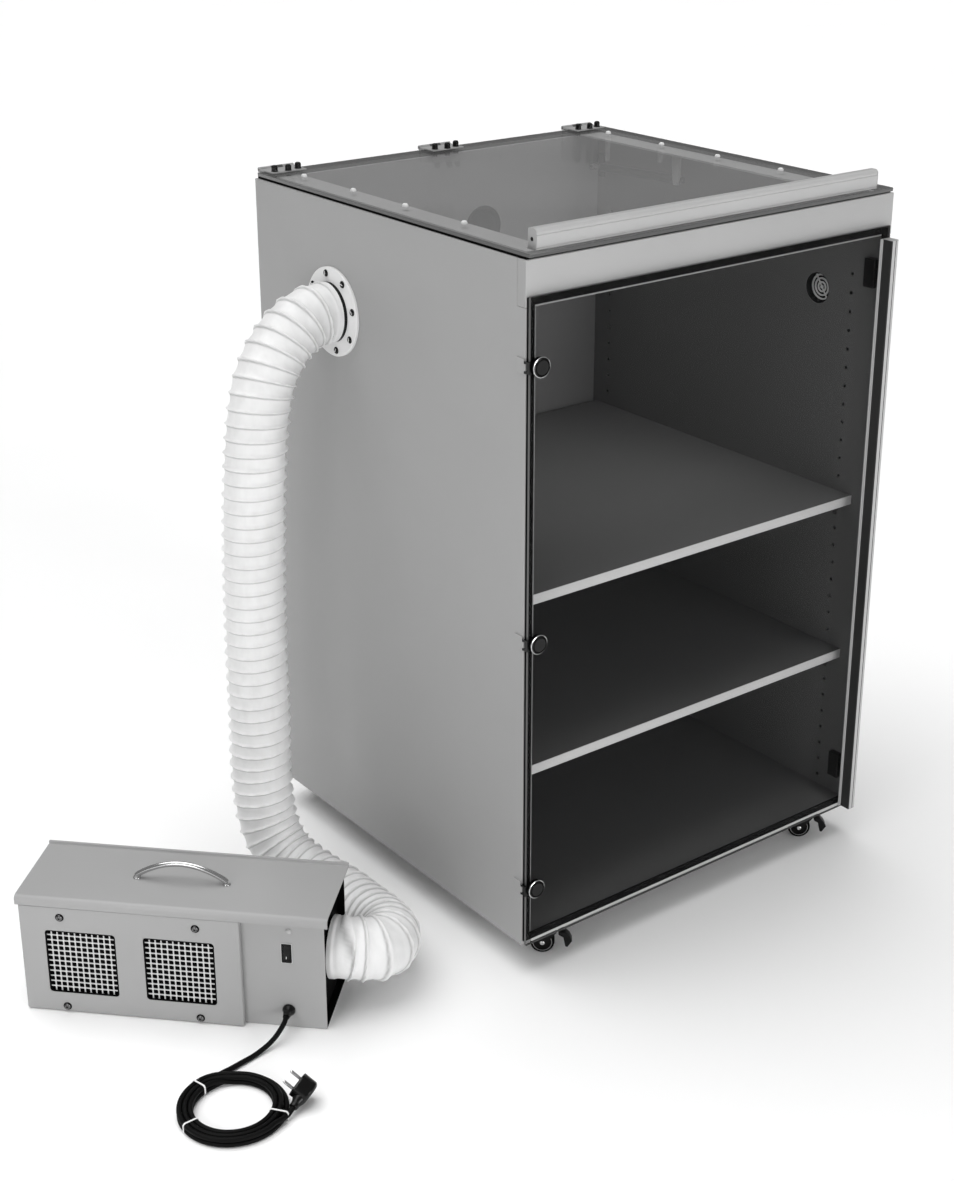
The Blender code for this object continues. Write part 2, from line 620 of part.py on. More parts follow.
def castor(name, x, y, braked):
    """Swivel fork on its stem, wheel on its axle and, on a braked one, a pedal."""
    empty(name, (x, y, 0), CASTOR_TURN, "parts_origin")
    top = CASTOR_HEIGHT - GAP
    cheek_in, cheek_out = WHEEL_WIDTH / 2 + 0.0006, WHEEL_WIDTH / 2 + 0.0026
    crown = [(0, 0.0435), (0.0150, 0.0435), (0.0150, 0.0480), (0.0175, 0.0500), (0.0175, top), (0, top)]
    fork = turned(f"{name}_fork", crown, plastic(), name, steps=20)
    for side in (-1, 1):
        y_low, y_high = sorted((side * cheek_in, side * cheek_out))
        outline = arc((-TRAIL, WHEEL_RADIUS), 0.0065, 180, 360, 4)
        outline += [(0.0130, 0.0400), (0.0130, 0.0450), (-0.0140, 0.0450), (-TRAIL - 0.0065, 0.0300)]
        cheek = guide(prism(f"{name}_cheek_{side}", outline, "Y", y_low, y_high, plastic(), name))
        combine(fork, cheek, "UNION")
    axle = guide(turned(f"{name}_axle", [(0, -cheek_in - 0.001), (0.0025, -cheek_in - 0.001),
                                         (0.0025, cheek_in + 0.001), (0, cheek_in + 0.001)],
                        plastic(), name, (-TRAIL, 0, WHEEL_RADIUS), (math.pi / 2, 0, 0), 10))
    combine(fork, axle, "UNION")
    half = WHEEL_WIDTH / 2
    tread = [(0.0029, -half + 0.0015), (0.0060, -half + 0.0002), (0.0150, -half + 0.0020), (0.0160, -half),
             (0.0185, -half), (WHEEL_RADIUS, -half + 0.0025), (WHEEL_RADIUS, half - 0.0025), (0.0185, half),
             (0.0160, half), (0.0150, half - 0.0020), (0.0060, half - 0.0002), (0.0029, half - 0.0015)]
    turned(f"{name}_wheel", tread, rubber(), name, (-TRAIL, 0, WHEEL_RADIUS), (math.pi / 2, 0, 0), 24)
    if braked:
        pedal = [(0.0158, 0.0340), (0.0240, 0.0290), (0.0272, 0.0125), (0.0305, 0.0110), (0.0385, 0.0225),
                 (0.0345, 0.0310), (0.0270, 0.0390), (0.0158, 0.0405)]
        prism(f"{name}_brake", pedal, "Y", -0.0085, 0.0085, plastic(), name)


def castors():
    left, right = CASTOR_INSET_X, WIDTH - CASTOR_INSET_X
    front, rear = CASTOR_INSET_Y, DEPTH - CASTOR_INSET_Y
    castor("castor_front_left", left, front, True)
    castor("castor_front_right", right, front, True)
    castor("castor_rear_left", left, rear, False)
    castor("castor_rear_right", right, rear, False)


# ---------------------------------------------------------------- filter unit

def filter_casing():
    """Folded sheet box, open on top, with recessed ends and holes for what it carries."""
    front, back, top = COVER_DEPTH + GAP, UNIT_DEPTH, UNIT_HEIGHT - SHEET - GAP
    casing = box("filter_casing", (0, front, 0), (UNIT_LENGTH, back, top), paint(), "unit")
    inside_v = (front + SHEET, back - SHEET)
    wall = END_RECESS + SHEET
    spans = {"unit_inside": (wall, UNIT_LENGTH - wall), "unit_recess_0": (-0.01, END_RECESS),
             "unit_recess_1": (UNIT_LENGTH - END_RECESS, UNIT_LENGTH + 0.01)}
    for name, (low, high) in spans.items():
        combine(casing, box_cutter(name, (low, inside_v[0], SHEET), (high, inside_v[1], 0.30), "unit"))
    combine(casing, box_cutter("unit_outlet", (0.030, -0.01, 0.027), (0.316, front + 0.01, 0.155), "unit"))
    combine(casing, rod_cutter("unit_inlet", 0.0475, (UNIT_LENGTH - 0.05, AXIS_V, AXIS_Z),
                               (UNIT_LENGTH + 0.05, AXIS_V, AXIS_Z), "unit"))
    combine(casing, box_cutter("switch_hole", (SWITCH_U - 0.0063, 0, SWITCH_Z - 0.0142),
                               (SWITCH_U + 0.0063, 0.03, SWITCH_Z + 0.0142), "unit"))
    combine(casing, rod_cutter("gland_hole", 0.0062, (SWITCH_U, 0, GLAND_Z), (SWITCH_U, 0.03, GLAND_Z),
                               "unit", 16))


def filter_hood():
    """Top sheet with a rolled front edge, a front lip and an upturned flange at the back."""
    roll, lip = 0.0060, -0.0010
    outer = [(lip, COVER_TOP + 0.0005)] + arc((lip + roll, UNIT_HEIGHT - roll), roll, 180, 90, 4)
    outer += [(0.1520, UNIT_HEIGHT), (0.1520, UNIT_HEIGHT + 0.0045), (0.1560, UNIT_HEIGHT + 0.0045),
              (0.1560, UNIT_HEIGHT - SHEET)]
    inner = arc((lip + roll, UNIT_HEIGHT - roll), roll - SHEET, 90, 180, 4)
    inner += [(lip + SHEET, COVER_TOP + 0.0005)]
    prism("filter_hood", outer + inner, "X", -0.0045, UNIT_LENGTH + 0.0085, paint(), "unit")


def filter_cover():
    """Shallow tray in front of the filter, with two square windows."""
    cover = box("filter_cover", (0, 0, 0.0010), (COVER_LENGTH, COVER_DEPTH, COVER_TOP), paint(), "unit")
    soften(cover, 0.0012)
    combine(cover, box_cutter("cover_inside", (SHEET, SHEET, 0.003),
                              (COVER_LENGTH - SHEET, 0.03, COVER_TOP - SHEET), "unit"))
    for number, start in enumerate(WINDOW_STARTS):
        window = box_cutter(f"window_{number}", (start, -0.01, WINDOW_BOTTOM),
                            (start + WINDOW_SIZE, 0.02, WINDOW_BOTTOM + WINDOW_SIZE), "unit")
        combine(cover, window)
    box("filter_grille", (0.012, SHEET + GAP, 0.012), (COVER_LENGTH - 0.012, SHEET + GAP + 0.0012, 0.170),
        aluminium(), "unit")


def filter_inside():
    """Filter cartridge behind the grille, and the fan that draws through the duct."""
    back = UNIT_DEPTH - SHEET - 0.001
    cartridge = box("filter_cartridge", (0.018, 0.0150, 0.0030), (0.326, 0.1100, 0.1900), white_plastic(),
                    "unit")
    combine(cartridge, box_cutter("cartridge_face", (0.030, 0, 0.015), (0.314, 0.022, 0.178), "unit"))
    # The motor hangs on its plate from the casing's back, one gap in front of it.
    plate = box("fan_motor", (0.3500, 0.1100, 0.0500), (0.3540, back, 0.1340), aluminium(), "unit")
    body = turned_mesh("motor_body", [(0, 0), (0.0300, 0), (0.0300, 0.0300), (0.0260, 0.0340),
                                      (0.0052, 0.0340), (0.0052, 0.0540), (0, 0.0540)], 20)
    tool = guide(solid("motor_tool", body, aluminium(), "unit", (0.3460, AXIS_V, AXIS_Z),
                       (0, math.pi / 2, 0)))
    arm = guide(box("motor_arm", (0.3500, AXIS_V, 0.0800), (0.3540, 0.1200, 0.1040), aluminium(), "unit"))
    combine(plate, arm, "UNION")
    combine(plate, tool, "UNION")
    empty("fan", (0.3850, AXIS_V, AXIS_Z), parent="unit")
    parents["fan"].rotation_euler = (0, math.pi / 2, 0)
    hub = turned("fan_impeller", [(0, 0.0180), (0.0055, 0.0180), (0.0055, 0), (0.0160, 0), (0.0160, 0.0180),
                                  (0.0110, 0.0230), (0, 0.0230)], plastic(), "fan", steps=20)
    for number in range(7):
        angle = 2 * math.pi * number / 7
        blade = guide(box(f"fan_blade_{number}", (0.0130, -0.0010, 0.0030), (0.0400, 0.0010, 0.0200),
                          plastic(), "fan"))
        blade.location = Vector((math.cos(angle), math.sin(angle), 0)) * 0.0265 + Vector((0, 0, 0.0115))
        blade.rotation_euler = Vector((math.radians(28), 0, angle))
        combine(hub, blade, "UNION")


def filter_details():
    end = UNIT_LENGTH - END_RECESS
    spigot = [(0.0430, -0.012), (0.0470, -0.012), (0.0470, GAP), (0.0560, GAP), (0.0560, 0.0035),
              (0.0480, 0.0035), (0.0480, 0.0080), (0.0430, 0.0080)]
    turned("filter_spigot", spigot, rubber(), "unit", (end, AXIS_V, AXIS_Z), (0, math.pi / 2, 0), 32)
    front = COVER_DEPTH
    gland = [(0, -0.0080), (0.0058, -0.0080), (0.0058, 0), (0.0088, 0), (0.0088, 0.0050), (0.0070, 0.0090),
             (0.0052, 0.0200), (0, 0.0200)]
    turned("cable_gland", gland, plastic(), "unit", (SWITCH_U, front, GLAND_Z), (math.pi / 2, 0, 0), 16)
    points = []
    for i in range(15):
        t = i / 14
        across = CARRY_U + CARRY_SPAN * (t - 0.5)
        rise = CARRY_RISE * math.sin(math.pi * t) ** 0.8 if 0 < i < 14 else 0.0
        points.append((across, CARRY_V, UNIT_HEIGHT + 0.0042 + rise))
    tube("carry_handle", points, CARRY_RADIUS - 0.0010, material("chrome", METAL, 0.12, 1.0), "unit", 2)
    empty("rocker", (SWITCH_U, front - 0.0005, SWITCH_Z), parent="unit")
    outline = [(0.0085, -0.0115), (-0.0020, -0.0125), (-0.0032, -0.0118), (-0.0005, 0), (0.0008, 0.0118),
               (0.0018, 0.0125), (0.0085, 0.0115)]
    prism("power_rocker", outline, "X", -0.0054, 0.0054, plastic(), "rocker")


def filter_unit():
    empty("unit", (*UNIT_CORNER, 0), UNIT_TURN, "parts_origin")
    filter_casing()
    filter_hood()
    filter_cover()
    filter_inside()
    filter_details()


# ---------------------------------------------------------------- duct and mains lead

def unit_point(u, v, z):
    """A point of the filter unit's frame, in cabinet coordinates."""
    c, s = math.cos(UNIT_TURN), math.sin(UNIT_TURN)
    return (UNIT_CORNER[0] + c * u - s * v, UNIT_CORNER[1] + s * u + c * v, z)


def duct():
    """Flexible duct: out of the wall, down, round on the floor and into the unit's end."""
    mouth, straight = UNIT_LENGTH - END_RECESS + 0.0083, 0.018
    start = (-COLLAR_OUT - GAP, DUCT_Y, DUCT_Z)
    route = [(start[0] - straight, DUCT_Y, DUCT_Z), (-0.060, 0.490, 0.979), (-0.098, 0.487, 0.954),
             (-0.132, 0.483, 0.912), (-0.154, 0.479, 0.850), (-0.169, 0.476, 0.740), (-0.177, 0.476, 0.600),
             (-0.180, 0.477, 0.450), (-0.181, 0.476, 0.320), (-0.184, 0.474, 0.220), (-0.183, 0.460, 0.135),
             (-0.174, 0.422, 0.082), (-0.158, 0.359, 0.060), (-0.147, 0.290, 0.0565), (-0.148, 0.228, 0.0585),
             (-0.154, 0.168, 0.067), (-0.174, 0.117, 0.080), (-0.214, 0.089, 0.092),
             unit_point(mouth + straight, AXIS_V, AXIS_Z)]
    points = [Vector(start)] + smooth_route(route, 0.021) + [Vector(unit_point(mouth, AXIS_V, AXIS_Z))]
    tube("duct", points, DUCT_RADIUS, white_plastic(), "parts_origin", 4)


def mains_lead():
    """Lead from the gland down to the floor, its coil, its tail and its plug."""
    floor = LEAD_RADIUS + 0.0003
    route = [unit_point(SWITCH_U, COVER_DEPTH - 0.0205, GLAND_Z),
             unit_point(SWITCH_U, COVER_DEPTH - 0.0340, 0.0296), (-0.4030, 0.0838, 0.0170),
             (-0.4205, 0.0815, 0.0085), (-0.4448, 0.0780, floor), (-0.4675, 0.0750, floor),
             (-0.4900, 0.0740, floor), (-0.5128, 0.0752, floor), (-0.5331, 0.0765, floor)]
    tube("mains_lead", smooth_route(route, 0.011), LEAD_RADIUS, rubber(), "parts_origin", 2)
    edge = 0.003
    ring = [(COIL_INNER + edge, 0), (COIL_OUTER - edge, 0), (COIL_OUTER, edge), (COIL_OUTER, COIL_TALL - edge),
            (COIL_OUTER - edge, COIL_TALL), (COIL_INNER + edge, COIL_TALL), (COIL_INNER, COIL_TALL - edge),
            (COIL_INNER, edge)]
    turned("mains_coil", ring, rubber(), "parts_origin", (*COIL, 0.0002), steps=28)
    empty("plug", PLUG, parent="parts_origin")
    parents["plug"].rotation_euler = PLUG_LEAN
    body = [(0, -0.013), (0.0150, -0.013), (PLUG_RADIUS, -0.010), (PLUG_RADIUS, 0.0105), (0.0175, 0.012),
            (0, 0.012)]
    made = turned("mains_plug", body, plastic(), "plug", turn=(-math.pi / 2, 0, 0), steps=24)
    neck = turned_mesh("neck", [(0, 0), (0.0095, 0), (0.0080, 0.0190), (0.0060, 0.0320), (0, 0.0320)], 14)
    tool = guide(solid("plug_neck", neck, plastic(), "plug", (0, -0.003, 0), (0, -math.pi / 2, 0)))
    combine(made, tool, "UNION")
    for side in (-1, 1):
        pin = turned_mesh("pin", [(0, 0), (0.0024, 0), (0.0024, 0.0295), (0.0014, 0.0310), (0, 0.0310)], 10)
        tool = guide(solid(f"plug_pin_{side}", pin, plastic(), "plug", (side * 0.0095, 0, 0),
                           (-math.pi / 2, 0, 0)))
        combine(made, tool, "UNION")


def main():
    for made in list(bpy.data.objects):
        bpy.data.objects.remove(made)
    empty("parts_origin", (-ORIGIN[0], -ORIGIN[1], 0))
    empty("cabinet", parent="parts_origin")
    cabinet()
    door()
    lid()
    lid_stay()
    castors()
    filter_unit()
    duct()
    mains_lead()


main()
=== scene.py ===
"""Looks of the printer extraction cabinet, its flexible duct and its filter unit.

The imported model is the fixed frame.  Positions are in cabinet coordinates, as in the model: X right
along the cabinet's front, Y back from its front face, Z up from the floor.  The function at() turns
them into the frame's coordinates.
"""

import math

import bmesh
import bpy
from mathutils import Euler, Matrix, Vector, noise


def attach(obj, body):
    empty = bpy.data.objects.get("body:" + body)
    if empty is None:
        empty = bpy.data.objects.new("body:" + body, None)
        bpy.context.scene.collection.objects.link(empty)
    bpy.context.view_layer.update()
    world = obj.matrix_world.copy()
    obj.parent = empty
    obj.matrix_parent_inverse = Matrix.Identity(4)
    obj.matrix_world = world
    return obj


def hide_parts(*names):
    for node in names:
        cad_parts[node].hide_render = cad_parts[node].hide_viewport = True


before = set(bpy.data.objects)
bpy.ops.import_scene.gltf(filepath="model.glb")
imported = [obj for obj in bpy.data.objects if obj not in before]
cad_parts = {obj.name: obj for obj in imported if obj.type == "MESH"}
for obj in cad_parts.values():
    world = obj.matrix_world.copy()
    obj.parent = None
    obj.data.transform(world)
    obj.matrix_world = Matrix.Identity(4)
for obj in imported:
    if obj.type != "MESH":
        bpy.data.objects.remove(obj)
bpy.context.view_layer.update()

GAP = 0.0003
ORIGIN = (0.0426, 0.3492)

# Cabinet, as in the model
WIDTH, DEPTH, TOP, BOTTOM, PANEL = 0.750, 0.720, 1.162, 0.055, 0.019
RAIL_HEIGHT = 0.067
HOLE_PITCH, HOLE_START, HOLES = 0.032, 0.0925, 30
DOOR_LEFT, DOOR_RIGHT, DOOR_BOTTOM, DOOR_TOP = 0.0015, 0.737, 0.0585, 1.1125
DOOR_BACK, DOOR_FRONT = -0.0045, -0.0095
LID_LEFT, LID_RIGHT, LID_FRONT, LID_BACK = 0.0015, 0.7405, -0.006, 0.713
LID_BOTTOM, LID_TOP = 1.1665, 1.1725
HINGE_X, HINGE_HEIGHTS = 0.0158, (0.162, 0.583, 1.011)
LID_HINGES = (0.0455, 0.371, 0.6965)
PORT, PORT_RADIUS = (0.459, 1.021), 0.0355
VENT = (0.133, 0.982)
DUCT_RADIUS, DUCT_Y, DUCT_Z, COLLAR_OUT = 0.051, 0.491, 0.985, 0.012
FLANGE_RADIUS = 0.0725

# Filter unit, as in the model
UNIT_CORNER, UNIT_TURN = (-0.661, 0.398), math.radians(-45.6)
UNIT_LENGTH, UNIT_DEPTH, UNIT_HEIGHT, SHEET = 0.472, 0.156, 0.203, 0.002
COVER_LENGTH, COVER_DEPTH, COVER_TOP = 0.3445, 0.0114, 0.1875
WINDOW_STARTS, WINDOW_SIZE, WINDOW_BOTTOM = (0.039, 0.1935), 0.111, 0.035
END_RECESS = 0.012
AXIS_V, AXIS_Z = 0.080, 0.104
SWITCH_U, SWITCH_Z, GLAND_Z = 0.4135, 0.132, 0.031
CARRY_U, CARRY_V, CARRY_SPAN, CARRY_RISE = 0.236, 0.075, 0.142, 0.026

# Castors
CASTOR_X, CASTOR_Y, WHEEL_RADIUS, WHEEL_WIDTH, TRAIL = 0.0785, 0.028, 0.020, 0.016, 0.010
CASTOR_TURN = math.radians(-39.3)

# Mains lead
LEAD_RADIUS = 0.0039
COIL, COIL_TURN_RADII, COIL_LAYERS = (-0.533, -0.009), (0.0765, 0.0685, 0.0605), (0.0042, 0.0121)
PLUG, PLUG_RADIUS = (-0.442, -0.0543, 0.0233), 0.0187
PLUG_LEAN = (math.radians(35.9), math.radians(-16.15), math.radians(22.65))

# Details of the looks
HOLE_COLUMNS, HOLE_RADIUS, HOLE_DEPTH = (0.058, 0.660), 0.0032, 0.012
SHELF_THICK, SHELF_LIFT = 0.016, 0.0225         # the lift is from a hole's centre to the shelf
DOOR_GRIP_TALL, LID_GRIP_TALL, GRIP_WIDE = 0.0225, 0.0299, 0.0175
GRIP_NOSE, GRIP_INNER, GRIP_LINE = 0.0062, 0.0030, 0.0008
VENT_DEEP = -0.0120                             # the rings, below the wall's inner face
RIB_PITCH, RIB_CREST, RIB_SAG, CUFF = 0.0226, 0.0020, 0.0034, 0.011
GRILLE_PITCH, GRILLE_HOLE, GRILLE_COUNT, GRILLE_CORNER = 0.0092, 0.0075, 12, 0.0014
FLOOR_SIZE, FLOOR_Z = 40.0, -0.0004


def at(x, y, z):
    return Vector((x - ORIGIN[0], y - ORIGIN[1], z))


def shift(x, y, z):
    return Matrix.Translation((x, y, z))


CABINET = Matrix.Translation(at(0, 0, 0))
UNIT = Matrix.Translation(at(*UNIT_CORNER, 0)) @ Matrix.Rotation(UNIT_TURN, 4, "Z")
# Each of these turns a piece's Z axis that way; HERE leaves it as it is.
Z_TO_RIGHT = Matrix.Rotation(math.pi / 2, 4, "Y")
Z_TO_LEFT = Matrix.Rotation(-math.pi / 2, 4, "Y")
Z_TO_FRONT = Matrix.Rotation(math.pi / 2, 4, "X")
Z_TO_BACK = Matrix.Rotation(-math.pi / 2, 4, "X")
HERE = Matrix.Identity(4)


# ---------------------------------------------------------------- camera

def make_camera():
    data = bpy.data.cameras.new("camera")
    data.lens = 58.08
    data.sensor_width = 36.0
    data.shift_x = -0.0120
    data.shift_y = -0.0614
    data.clip_end = 50.0
    camera = bpy.data.objects.new("camera", data)
    camera.location = at(-1.5986, -2.0047, 1.7878)
    camera.rotation_euler = (math.radians(68.6), 0, math.radians(-37.5))
    show(camera)
    bpy.context.scene.camera = camera


# ---------------------------------------------------------------- materials

class Nodes:
    """Small helper to build a Principled material with bump and colour detail."""

    def __init__(self, name):
        self.made = bpy.data.materials.new(name)
        self.made.use_nodes = True
        self.tree = self.made.node_tree
        self.shader = self.tree.nodes["Principled BSDF"]
        self.place = self.tree.nodes.new("ShaderNodeTexCoord").outputs["Object"]

    def set(self, **values):
        for key, value in values.items():
            self.shader.inputs[key.replace("_", " ")].default_value = value

    def link(self, a, b):
        self.tree.links.new(a, b)

    def feed(self, colour, roughness=None):
        self.link(colour, self.shader.inputs["Base Color"])
        if roughness:
            self.link(roughness, self.shader.inputs["Roughness"])

    def noise(self, scale, detail=2.0, stretch=None):
        node = self.tree.nodes.new("ShaderNodeTexNoise")
        node.inputs["Scale"].default_value = scale
        node.inputs["Detail"].default_value = detail
        if stretch:
            mapping = self.tree.nodes.new("ShaderNodeMapping")
            mapping.inputs["Scale"].default_value = stretch
            self.link(self.place, mapping.inputs["Vector"])
            self.link(mapping.outputs["Vector"], node.inputs["Vector"])
        else:
            self.link(self.place, node.inputs["Vector"])
        return node.outputs["Fac"]

    def ramp(self, source, dark, pale, low=0.3, high=0.7):
        node = self.tree.nodes.new("ShaderNodeValToRGB")
        for stop, grey, position in zip(node.color_ramp.elements, (dark, pale), (low, high)):
            stop.position = position
            stop.color = (grey, grey, grey, 1)
        self.link(source, node.inputs["Fac"])
        return node.outputs["Color"]

    def multiply(self, a, b):
        node = self.tree.nodes.new("ShaderNodeMix")
        node.data_type = "RGBA"
        node.blend_type = "MULTIPLY"
        node.inputs["Factor"].default_value = 1.0
        self.link(a, node.inputs["A"])
        self.link(b, node.inputs["B"])
        return node.outputs["Result"]

    def span(self, source, low, high):
        node = self.tree.nodes.new("ShaderNodeMapRange")
        node.inputs["To Min"].default_value = low
        node.inputs["To Max"].default_value = high
        self.link(source, node.inputs["Value"])
        return node.outputs["Result"]

    def bump(self, source, strength, distance):
        node = self.tree.nodes.new("ShaderNodeBump")
        node.inputs["Strength"].default_value = strength
        node.inputs["Distance"].default_value = distance
        self.link(source, node.inputs["Height"])
        last = self.shader.inputs["Normal"]
        if last.links:
            self.link(last.links[0].from_socket, node.inputs["Normal"])
        self.link(node.outputs["Normal"], last)


def finish(name, value, spread=0.06, rough=(0.4, 0.5), grain=700.0, bump=0.1, metallic=0.0,
           stretch=None, coat=0.0, shine=0.5):
    """A surface with cloudy colour, fine grain and uneven gloss."""
    nodes = Nodes(name)
    nodes.set(Metallic=metallic, Coat_Weight=coat, Specular_IOR_Level=shine)
    fine = nodes.noise(grain, 2.0, stretch)
    base = nodes.ramp(nodes.noise(3.0, 3.0), value * (1 - spread), value * (1 + spread))
    nodes.feed(nodes.multiply(base, nodes.ramp(fine, 1 - spread / 2, 1)), nodes.span(fine, *rough))
    nodes.bump(fine, bump, 0.0002)
    return nodes.made


def clear_sheet(name, value, alpha, shine):
    """Clear sheet: a thin veil of flat colour and faint wipe marks; a pale veil is a painted reflection,
    a dark one painted shade.
    """
    nodes = Nodes(name)
    nodes.set(Alpha=alpha, IOR=1.49, Specular_IOR_Level=shine)
    # The veil's colour: painted reflection when pale, painted shade when dark.
    veil = nodes.ramp(nodes.noise(5.0, 4.0), value * 0.94, value)
    nodes.feed(veil, nodes.span(nodes.noise(60.0, 3.0, (1.0, 0.15, 0.3)), 0.03, 0.09))
    return nodes.made


def duct_fabric():
    """Coated fabric over a wire helix: fine weave, soft creases, and painted shade in a thin line beside
    the wire.
    """
    nodes = Nodes("duct_fabric")
    nodes.set(Sheen_Weight=0.15, Sheen_Roughness=0.5)
    creases = nodes.noise(70.0, 4.0, (1.0, 1.0, 0.45))
    cloth = nodes.multiply(nodes.ramp(nodes.noise(9.0, 4.0), 0.77, 0.83),
                           nodes.ramp(creases, 0.93, 1.0, 0.25, 0.6))
    # Painted shade: a colour attribute darkens the fabric in a thin line beside each turn of the wire.
    rib_shade = nodes.tree.nodes.new("ShaderNodeAttribute")
    rib_shade.attribute_name = "rib_shade"
    nodes.feed(nodes.multiply(cloth, rib_shade.outputs["Color"]), nodes.span(creases, 0.38, 0.62))
    nodes.bump(nodes.noise(1400.0, 1.0), 0.10, 0.0002)
    nodes.bump(creases, 0.20, 0.0010)
    return nodes.made


def make_materials():
    brushed = (1.0, 1.0, 0.02)
    return {
        "laminate": finish("laminate_grey", 0.340, 0.03, (0.42, 0.52), 420.0, 0.02),
        # Darker copy of the laminate for faces inside the cabinet: painted shade.
        "inside": finish("laminate_inside_painted_shade", 0.125, 0.04, (0.62, 0.68), 60.0, 0.01, shine=0.10),
        # Darker copy of the laminate for the back board's inner face: painted shade.
        "back": finish("laminate_back_painted_shade", 0.260, 0.04, (0.62, 0.68), 60.0, 0.01, shine=0.10),
        # Near black for the grip's side that lies in shadow: painted shade.
        "groove": finish("grip_side_painted_shade", 0.035, 0.10, (0.40, 0.50), 900.0, 0.05, shine=0.2),
        "well": finish("shadowed_board", 0.020, 0.10, (0.70, 0.80), 420.0, 0.02, shine=0.05),
        # Lighter copy of the laminate for the front rail: painted light.
        "rail": finish("laminate_painted_light", 0.420, 0.03, (0.40, 0.48), 420.0, 0.02),
        # Near-white finish for lit front edges and the vent's rings: painted light.
        "edge": finish("edge_painted_light", 0.860, 0.03, (0.36, 0.46), 500.0, 0.02),
        "paint": finish("powder_coat", 0.345, 0.03, (0.36, 0.48), 1500.0, 0.10, coat=0.1, shine=0.3),
        "rubber": finish("rubber", 0.003, 0.25, (0.70, 0.85), 900.0, 0.10, shine=0.04),
        "lead": finish("lead_sheath", 0.002, 0.25, (0.50, 0.62), 900.0, 0.08, shine=0.10),
        "plastic": finish("black_plastic", 0.004, 0.25, (0.28, 0.42), 1300.0, 0.10, shine=0.15),
        "gloss": finish("black_gloss", 0.003, 0.20, (0.16, 0.26), 600.0, 0.03, shine=0.25),
        "aluminium": finish("aluminium", 0.66, 0.04, (0.30, 0.42), 500.0, 0.08, 1.0, brushed),
        "profile": finish("anodised_profile", 0.480, 0.03, (0.32, 0.42), 900.0, 0.06, 0.15, brushed),
        "steel": finish("bright_steel", 0.70, 0.05, (0.14, 0.26), 900.0, 0.05, 1.0),
        "chrome": finish("chrome", 0.52, 0.03, (0.12, 0.18), 300.0, 0.02, 1.0),
        "screw": finish("dark_screw", 0.140, 0.10, (0.16, 0.28), 900.0, 0.04, 1.0),
        "black_steel": finish("black_steel", 0.010, 0.20, (0.28, 0.42), 900.0, 0.06, 0.2, shine=0.2),
        "white": finish("white_plastic", 0.80, 0.03, (0.34, 0.46), 900.0, 0.08),
        "tie": finish("tie_nylon", 0.82, 0.03, (0.35, 0.50), 900.0, 0.05),
        "grille": finish("grille_zinc", 0.62, 0.06, (0.34, 0.50), 700.0, 0.08, 0.3),
        "media": finish("filter_media", 0.006, 0.30, (0.75, 0.95), 350.0, 0.60, shine=0.05),
        "lens": finish("lamp_lens", 0.420, 0.05, (0.10, 0.20), 500.0, 0.05, coat=0.6),
        # Near-black veil over the door: painted shade over the cabinet's inside.
        "door_clear_shade_veil": clear_sheet("door_clear_shade_veil", 0.02, 0.14, 0.10),
        # Pale veil over the lid: painted reflection of the bright room.
        "lid_clear_glare_veil": clear_sheet("lid_clear_glare_veil", 0.56, 0.20, 0.4),
        "pane_edge": finish("pane_edge", 0.10, 0.05, (0.10, 0.20), 300.0, 0.03, shine=0.3),
        "duct": duct_fabric(),
    }


# ---------------------------------------------------------------- mesh helpers

def show(made):
    bpy.context.scene.collection.objects.link(made)


def piece(name, mesh, material, body="cabinet", matrix=None, replaces=(), smooth=35):
    """Puts a mesh, or a list of shapes with their matrices, into the scene as one piece on a body."""
    if isinstance(mesh, list):
        mesh = to_mesh(join(mesh))
    made = bpy.data.objects.new(name, mesh)
    mesh.materials.append(MATERIALS[material])
    made.matrix_world = matrix or HERE
    show(made)
    if isinstance(mesh, bpy.types.Mesh):
        mesh.shade_smooth()
        mesh.set_sharp_from_angle(angle=math.radians(smooth))
    bpy.context.view_layer.update()
    if replaces:
        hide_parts(*replaces)
    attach(made, body)
    return made


def to_mesh(build, name="mesh"):
    bmesh.ops.recalc_face_normals(build, faces=build.faces)
    mesh = bpy.data.meshes.new(name)
    build.to_mesh(mesh)
    build.free()
    return mesh


def add_faces(build, points, faces):
    made = [build.verts.new(p) for p in points]
    for face in faces:
        build.faces.new([made[i] for i in face])


def bevelled(build, width, segments=2, angle=40):
    """Rounds every edge sharper than the angle."""
    bmesh.ops.recalc_face_normals(build, faces=build.faces)
    sharp = math.radians(angle)
    edges = [e for e in build.edges if len(e.link_faces) == 2 and e.calc_face_angle(0) > sharp]
    bmesh.ops.bevel(build, geom=edges, offset=width, segments=segments, affect="EDGES", profile=0.5,
                    clamp_overlap=True)
    return build


def box_shape(low, high, width=0.0, segments=2):
    build = bmesh.new()
    low, high = Vector(low), Vector(high)
    bmesh.ops.create_cube(build, size=1.0)
    for v in build.verts:
        v.co = Vector(low[i] + (high[i] - low[i]) * (v.co[i] + 0.5) for i in range(3))
    if width:
        bevelled(build, width, segments)
    return build


def box(low, high, width=0.0, segments=2):
    return to_mesh(box_shape(low, high, width, segments))


def prism_shape(outline, axis, start, end, width=0.0, segments=2, angle=40):
    """A closed outline of pairs run along an axis."""
    order = {"X": (2, 0, 1), "Y": (0, 2, 1), "Z": (0, 1, 2)}[axis]
    count = len(outline)
    build = bmesh.new()
    points = [[(a, b, c)[i] for i in order] for c in (start, end) for a, b in outline]
    faces = [range(count), range(count, 2 * count)]
    faces += [(i, (i + 1) % count, count + (i + 1) % count, count + i) for i in range(count)]
    add_faces(build, points, faces)
    if width:
        bevelled(build, width, segments, angle)
    return build


def prism(*args, **kwargs):
    return to_mesh(prism_shape(*args, **kwargs))


